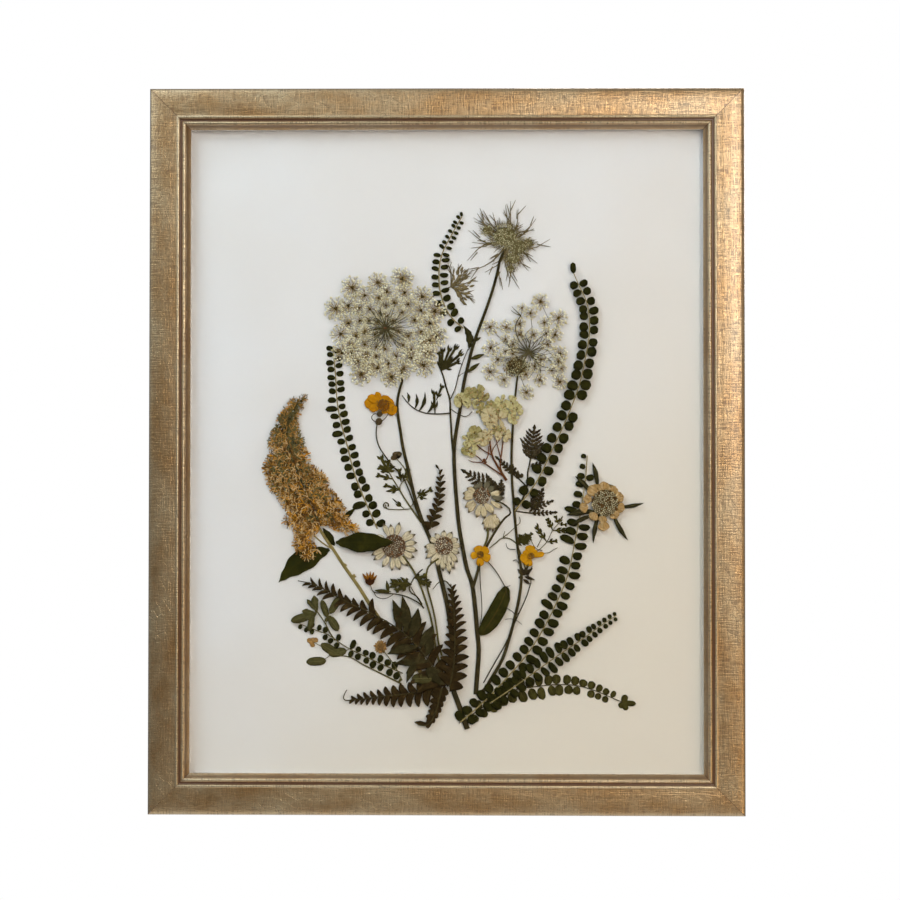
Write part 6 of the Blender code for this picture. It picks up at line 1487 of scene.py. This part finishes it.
seedLight = fibre("seedLight", (134, 120, 88), (208, 196, 160), (84, 70, 44), vary=1.0)
scabious = {
    "centre": (123.8, -40.5), "discRadius": 10.4, "seeds": 150,
    "petals": [(115, -31, 5.5), (122.5, -28.5, 5), (129.5, -31, 4.6), (134.5, -36, 4.2), (135.5, -44, 4),
               (131, -49, 4.2), (122.5, -58, 4.6), (122, -52.5, 3.6), (115, -50.5, 4), (107.5, -44, 4),
               (110.5, -37.5, 4)], "bracts": [((118, -29), (114, -9), 2.0), ((119, -28), (130.5, -27), 2.4),
                                              ((134, -43.5), (154, -40.5), 1.6),
                                              ((130, -49), (141.5, -69.5), 1.9),
                                              ((119.5, -48), (114.5, -72), 1.9),
                                              ((114, -34), (100.5, -19.5), 2.0),
                                              ((116, -47), (94, -50), 2.6), ((112, -50), (98, -58), 1.6)]}


def makeScabious():
    pick = random.Random(21)
    bm = startPlant()
    centre = scabious["centre"]
    for index, (x, z, radius) in enumerate(scabious["petals"]):
        out = math.atan2(z - centre[1], x - centre[0])
        for fold in range(3):
            turn = out + (fold - 1) * 0.75 + pick.uniform(-0.15, 0.15)
            base = pointAt((x, z), -radius * 0.75, out)
            pressLeaf(bm, base, pointAt((x, z), radius * 0.95, turn), radius * 0.58,
                      "petal", seed=index * 3 + fold, cells=(6, 8), ripple=0.5,
                      cup=0.2, low=0.15 + 0.2 * fold, high=1.2)
    pressMany(bm, scabious["bracts"], form="narrow", cells=(4, 12), bend=0.04, material=1, low=0.06, cup=0.06,
              ripple=0.1)
    pressHead(bm, centre, scabious["discRadius"], scabious["seeds"], 0.84, 0.9, (3, 3, 3, 4), 5, 2,
              (0.7, 0.9, 4), 0.6)
    pressStems(bm, [([(117, -49), (111, -52), (104, -55.5)], 1.1, 1.3)], material=1, vary=0.3)
    finishPlant("scabious", 3, bm, [peachPetal, scabiousBract, darkSeed, seedLight, plumeShade])


scabiousBract = tissue("scabiousBract", (46, 42, 20), (84, 78, 46), (38, 34, 16), (100, 92, 58))
makeScabious()
print("scabious pressed")

# Cut leaves, twigs and sprigs

bm = startPlant()
pressStems(bm, [
    ([(-46, -15), (-42, -22), (-37, -30), (-33, -37), (-28, -44), (-23, -51), (-19.5, -56)], 0.9, 1.8),
    ([(-30, -21), (-35, -25), (-36.5, -30), (-35, -33.5)], 0.8, 0.9),
    ([(-33, -24), (-30.5, -20.5), (-35, -11), (-39, -6)], 0.8, 0.8),
    ([(-31, -22), (-27, -30), (-24, -40), (-21, -52)], 1.4, 1.8),
    ([(-48, -42), (-46.5, -45), (-42, -45.6), (-26, -45.2)], 0.9, 0.7),
    ([(-28.5, -44.5), (-24, -38.5), (-21, -34)], 0.7, 0.8),
    ([(-34.5, -11), (-31.5, -18), (-28, -25)], 0.6, 0.8)], material=1, wiggle=0.6, vary=0.4)
pressCutLeaf(bm, (-35.5, -24), (-37.5, -13.5), 3, 2, seed=1, width=0.9)
pressCutLeaf(bm, (-34, -23), (-30, -14), 2.4, 2, seed=2, width=0.8)
pressMany(bm, [((-45.5, -17), tip, 3.0, 2) for tip in ((-52, -3.5), (-46, -7), (-53.5, -12), (-42, -11))],
          pressCutLeaf, 20, width=1.0)
pressMany(bm, [
    ((-42, -22), (-55, -18.5), 2.4, 2), ((-37, -30), (-49, -26.5), 2.2, 2),
    ((-37, -30.5), (-47.5, -31.5), 2.0, 1), ((-22, -35), (-20, -29.5), 1.4, 1),
    ((-22, -35.5), (-11, -29.5), 2.2, 2), ((-22.5, -36), (-15, -37.5), 1.0, 1),
    ((-33.5, -45), (-42.5, -37), 1.2, 1)], pressCutLeaf, 30, width=0.9)
pressStems(bm, [([(-46.5, -45), (-49.2, -43.6), (-48.6, -41), (-45.8, -41), (-45.6, -43.6)], 0.9, 1.2)],
           vary=0.6)
pressPetals(bm, (-38.5, -6.5), [(-43.6, -4.8, 1.8), (-40.5, -0.6, 2.6), (-36.8, -0.4, 2.4)],
            material=2, ripple=0.4)
finishPlant("cut_leaf_left", 0, bm, [oliveLeaf, oliveStem, budPod])

bm = startPlant()
pressStems(bm, [
    ([(70, 6), (66, -4), (65, -10), (63.5, -17), (63.3, -25), (61, -34), (57, -42), (53.5, -47)], 1.0, 2.0),
    ([(38, -4), (45, -11), (52, -18), (58, -23), (63.5, -29)], 1.2, 1.2),
    ([(54, -47), (60, -47.8), (68, -48.6), (74, -48.3)], 1.1, 1.2),
    ([(65, -47.5), (70, -42), (74, -37)], 1.6, 1.6)], material=1, vary=0.3)
pressMany(bm, [
    ((65.5, -8), (69, 21), 9.2, 7, 1.55), ((66.5, -6), (80, 3.5), 3.6, 4, 1.2),
    ((65.8, -12), (77, -9), 2.6, 3, 1.2), ((53, -18), (38.4, -4), 3.0, 5, 1.2),
    ((57, -22), (51, -10), 2.4, 3, 1.2), ((66.5, -47), (76, -28.5), 5.0, 6, 1.55),
    ((68, -45), (84, -38.4), 3.0, 4, 1.2), ((66, -48.5), (87, -47.8), 2.6, 5, 1.2),
    ((60, -20), (52, -16), 2.0, 2, 1.2)], pressFeather, 50)
finishPlant("dark_leaf_spray", 0, bm, [brownLeaf, darkStem])

bm = startPlant()
pressMany(bm, [((42, -34), (11, -14), 7.4, 7), ((42, -36), (43, -22), 3.6, 4),
               ((38, -32), (32, -19), 3.4, 4)], pressFeather, 70, half=1.6)
finishPlant("dark_leaf_behind", 0, bm, [brownLeaf, darkStem])

bm = startPlant()
pressStems(bm, [
    ([(33.5, -76), (38.5, -72), (44, -68), (52, -70), (57, -78), (61, -90), (63, -97)], 0.8, 1.2),
    ([(44.5, -67.5), (49, -64), (55, -58)], 0.8, 0.6), ([(44.5, -67.5), (45.6, -62.5)], 0.6, 0.5),
    ([(55, -58), (57.5, -55.5), (57.2, -51.5)], 0.7, 0.6),
    ([(62, -91), (66, -82), (74, -76), (79, -70.5), (83, -62), (88, -56), (91, -51)], 0.7, 0.6),
    ([(64, -86), (74, -80.5), (80, -79.5), (84, -77), (87, -75.5)], 0.7, 0.5),
    ([(66, -69), (70, -76), (75, -78)], 0.7, 0.6), ([(71, -75), (75, -67)], 0.8, 0.5)], material=1,
           wiggle=0.5, vary=0.4)
pressMany(bm, [
    ((87.5, -57), (85, -50.5), 1.6, 2), ((88, -56.8), (94, -57.6), 1.4, 2), ((83, -62), (96, -62), 2.0, 3),
    ((83, -61.5), (78.5, -52), 2.2, 3), ((78.5, -71), (69.5, -58), 2.4, 3), ((79, -71), (87, -70), 1.8, 2),
    ((56, -71), (66, -67), 4.2, 4), ((56, -70.5), (58, -65), 2.0, 2), ((59, -70), (63, -64.5), 2.0, 2),
    ((64, -69), (67, -63.8), 1.6, 2), ((88, -56), (91, -50.5), 1.2, 1), ((54, -71), (64, -71), 3.0, 3)],
          pressCutLeaf, 90, width=0.8)
finishPlant("feathery_leaf", 0, bm, [oliveLeaf, oliveStem])

bm = startPlant()
pressLeaf(bm, (47.4, -106), (26.6, -143.6), 6.6, "oval", seed=4, bend=-0.05, cells=(10, 24), ripple=0.25,
          vary=0.4)
pressStems(bm, [([(31.5, -85.5), (38, -93), (43, -101), (46.5, -108), (47.6, -113)], 0.9, 0.7),
                ([(47, -106), (50, -105)], 0.7, 0.5)], material=1)
finishPlant("lance_leaf", 2, bm, [mottledLeaf, darkStem])

bm = startPlant()
pressStems(bm, [
    ([(-103, -123), (-98.5, -129), (-94, -136), (-91, -142), (-87, -148)], 0.9, 1.2),
    ([(-94, -136), (-92.5, -129), (-88, -131)], 0.7, 0.6), ([(-101, -126), (-107, -129)], 0.8, 0.7),
    ([(-92.6, -129), (-90.5, -125)], 0.7, 0.6)], material=1, vary=0.4)
for index, (base, tip, half) in enumerate([
        ((-101.5, -126), (-103.5, -113), 3.0), ((-93, -130), (-97.5, -116.5), 2.6),
        ((-91, -127), (-83, -113.5), 3.0),
        ((-91.5, -129.5), (-84.5, -140.5), 3.2), ((-101.5, -127.5), (-113, -125), 2.6),
        ((-104.5, -128), (-121.5, -133), 3.4), ((-104, -126.5), (-107.5, -141), 2.4),
        ((-103, -124), (-109, -116), 1.8),
        ((-102, -127), (-111, -131), 2.6), ((-95, -133), (-90, -129), 1.6)]):
    pressLeaf(bm, base, tip, half, "lobe" if index in (0, 4, 7) else "oval", seed=index, cells=(5, 12),
              ripple=0.22)
finishPlant("round_leaf_sprig", 2, bm, [greyLeaf, oliveStem])

pressButtonFern(
    "dark_leaf_sprig", 1,
    [(-115, -135), (-101, -140.5), (-93, -143.5), (-80, -152.5), (-62, -161.2), (-34, -174)],
    (2, 5, 7.6, {3, 7}), (10, 5.4, 6.8, {3, 5}), [(0, 2.0), (0.4, 2.5), (1, 2.8)], [(0, 0.8), (1, 0.9)],
    1.0, stem=oliveStem, longer={(1, 6)})

bm = startPlant()
pressStems(bm, [
    ([(-104, -149.5), (-96, -154), (-90, -158), (-83, -160), (-76, -161), (-66, -166.5), (-56, -171.5),
      (-46, -176.5), (-35, -182)], 0.5, 1.4), ([(-78, -156), (-72, -153)], 0.6, 0.5),
    ([(-98, -165), (-89, -158.5)], 0.5, 0.7)], material=1, vary=0.4)
pressMany(bm, [((-98, -151), (-84, -159.5), 3.6), ((-92, -159), (-78, -156), 3.4),
               ((-109.5, -165), (-94, -164), 3.4)], cells=(5, 10))
pressMany(bm, [((-104.5, -149.3), tip, 1.9) for tip in (
    (-109, -147.5), (-104, -146), (-100.5, -147), (-104.8, -153.5), (-107.5, -150))],
          form="petal", material=2, ripple=0.4, cells=(5, 6))
tanPetal = tissue("tanPetal", (160, 120, 66), (220, 184, 126), (120, 84, 46), (124, 86, 46), rimShare=0.6)
tanHeart = fibre("tanHeart", (96, 62, 28), (150, 108, 56), (70, 44, 20), vary=1.0)
finishPlant("long_leaf_sprig", 0, bm, [greyLeaf, oliveStem, tanPetal])

bm = startPlant()
ring = [(-51.3 + (4.6 + step % 3 * 0.6) * math.cos(step * 0.37), -153 + 5.4 * math.sin(step * 0.37), 0.8)
        for step in range(17)]
pressPetals(bm, (-51.3, -153), ring, cells=(3, 5), ripple=0.35, start=0.1)
pressHead(bm, (-51, -153), 2.8, 30, 0.45, 0.3, (1, 0, 3), seed=3, base=0)
pressStems(bm, [([(-50, -155), (-44, -162.5), (-39, -170), (-34.5, -179)], 0.7, 0.9),
                ([(-35, -178), (-37, -180.6)], 2.6, 2.0)], material=2, vary=0.5)
finishPlant("tan_flower", 2, bm, [tanPetal, tanHeart, oliveStem, darkSeed])

bm = startPlant()
pressStems(bm, [
    ([(-18.5, -92), (-22, -96), (-27.5, -103), (-28.5, -109), (-23, -113.5), (-19, -120)], 1.2, 1.2),
    ([(-59.5, -104), (-57, -110), (-50, -111), (-42, -111.6), (-34, -112.5), (-27, -115.5), (-20, -120),
      (-17.5, -123)], 0.8, 1.4), ([(-57, -110), (-54, -114), (-47.5, -115.2), (-41, -111.8)], 0.7, 0.6),
    ([(-28, -106), (-24, -112), (-20, -119)], 0.7, 0.8)], material=1, wiggle=0.6, vary=0.3)
pressMany(bm, [
    ((-27, -104), (-44.5, -103.5), 4.4, 4), ((-29, -103), (-36, -98.5), 1.8, 1),
    ((-29, -105), (-40, -109.5), 2.2, 2), ((-24.5, -99), (-12, -104.5), 3.2, 3),
    ((-25, -99), (-16, -97.5), 2.2, 2)], pressCutLeaf, 110, width=1.2)
pressMany(bm, [((-56, -109), (-43, -110), 1.6), ((-45, -111), (-46.8, -101), 1.5)], form="lance")
pressMany(bm, [((-59.8, -104), tip, half) for tip, half in (
    ((-65.6, -95.6), 1.3), ((-62.4, -94.6), 1.1), ((-59.4, -94), 1.1), ((-56.6, -94.6), 1.2),
    ((-54.2, -97), 1.2))], form="narrow", material=2, low=0.3, high=0.9)
pressMany(bm, [((-59.8, -105), (-63.6, -99.5), 1.6), ((-59.8, -105), (-60, -98.6), 1.7),
               ((-59.8, -105), (-55.8, -99.5), 1.6)], form="lance", material=3, low=0.5, high=1.2)
budPetal = tissue("budPetal", (128, 76, 14), (190, 134, 54), (206, 168, 96), (100, 56, 12), rimShare=0.7)
budCalyx = tissue("budCalyx", (60, 32, 12), (96, 54, 20), (44, 22, 8), (50, 26, 10))
finishPlant("centre_twig", 3, bm, [oliveLeaf, darkStem, budPetal, budCalyx])
print("leaves and sprigs pressed")

# Stage, camera and light

view = {"place": (0.0275, -1.6725, -0.2964), "turn": (91.04, -0.05, 0.853), "lens": 85.0, "film": 36.0}
cameraData = bpy.data.cameras.new("camera")
cameraData.lens = view["lens"]
cameraData.sensor_width = view["film"]
camera = addObject("camera", cameraData)
camera.location = view["place"]
camera.rotation_euler = [math.radians(angle) for angle in view["turn"]]
scene.camera = camera

floorBm = bmesh.new()
bmesh.ops.create_circle(floorBm, cap_ends=True, segments=96, radius=0.6)
bmesh.ops.translate(floorBm, verts=floorBm.verts, vec=(0, 0, -0.76))
floorMesh = makeMesh(floorBm, "floor")
floorMesh.materials.append(plainMaterial("paleFloor", {"Base Color": (0.8, 0.8, 0.79, 1), "Roughness": 0.9}))
addObject("floor", floorMesh)

lamps = [
    # name, place, size, power, colour
    ("keyLight", (0.62, -1.9, 0.16), (0.3, 0.62), 8.3, (1.0, 0.92, 0.82)),
    ("warmLow", (1.2, -1.2, -0.9), (0.5, 0.5), 2.5, (1.0, 0.66, 0.3)),
    ("coolFill", (-0.95, -1.0, 0.82), (1.1, 1.1), 12.2, (0.8, 0.93, 1.0)),
    ("backFill", (0.7, 1.8, 0.6), (1.2, 1.2), 30.0, (1.0, 0.98, 0.95)),
]
for lampName, lampPlace, lampSize, lampPower, lampColour in lamps:
    lampData = bpy.data.lights.new(lampName, "AREA")
    lampData.shape = "RECTANGLE"
    lampData.size, lampData.size_y = lampSize
    lampData.energy = lampPower
    lampData.color = lampColour
    lamp = addObject(lampName, lampData)
    lamp.location = lampPlace
    aim = Vector((0, 0, cardCentre * mm)) - Vector(lampPlace)
    lamp.rotation_euler = aim.to_track_quat("-Z", "Y").to_euler()


# The room: warm on the right, cool on the left, dark below and behind the camera, and white as a backdrop
def makeWorld():
    world = bpy.data.worlds.new("studio")
    scene.world = world
    world.use_nodes = True
    tree = world.node_tree
    tree.nodes.clear()
    axes = splitAxes(tree, addNode(tree, "ShaderNodeTexCoord").outputs["Generated"])
    walls = blendColours(tree, rangeNode(tree, axes["X"], -0.9, 0.9), (0.15, 0.168, 0.195, 1),
                         (0.2, 0.18, 0.15, 1))
    low = rangeNode(tree, axes["Z"], 0.15, -0.4, 0.0, 0.94)
    walls = blendColours(tree, low, walls, (0.02, 0.017, 0.013, 1))
    room = blendColours(tree, rangeNode(tree, axes["Y"], -0.8, -0.97), walls, (0.02, 0.02, 0.02, 1))
    around = feed(tree, addNode(tree, "ShaderNodeBackground"), {"Color": room})
    seen = feed(tree, addNode(tree, "ShaderNodeBackground"), {"Color": (1, 1, 1, 1)})
    choose = feed(tree, addNode(tree, "ShaderNodeMixShader"), {
        0: addNode(tree, "ShaderNodeLightPath").outputs["Is Camera Ray"], 1: around.outputs[0],
        2: seen.outputs[0]})
    feed(tree, addNode(tree, "ShaderNodeOutputWorld"), {0: choose.outputs[0]})


makeWorld()
print("stage and light done")
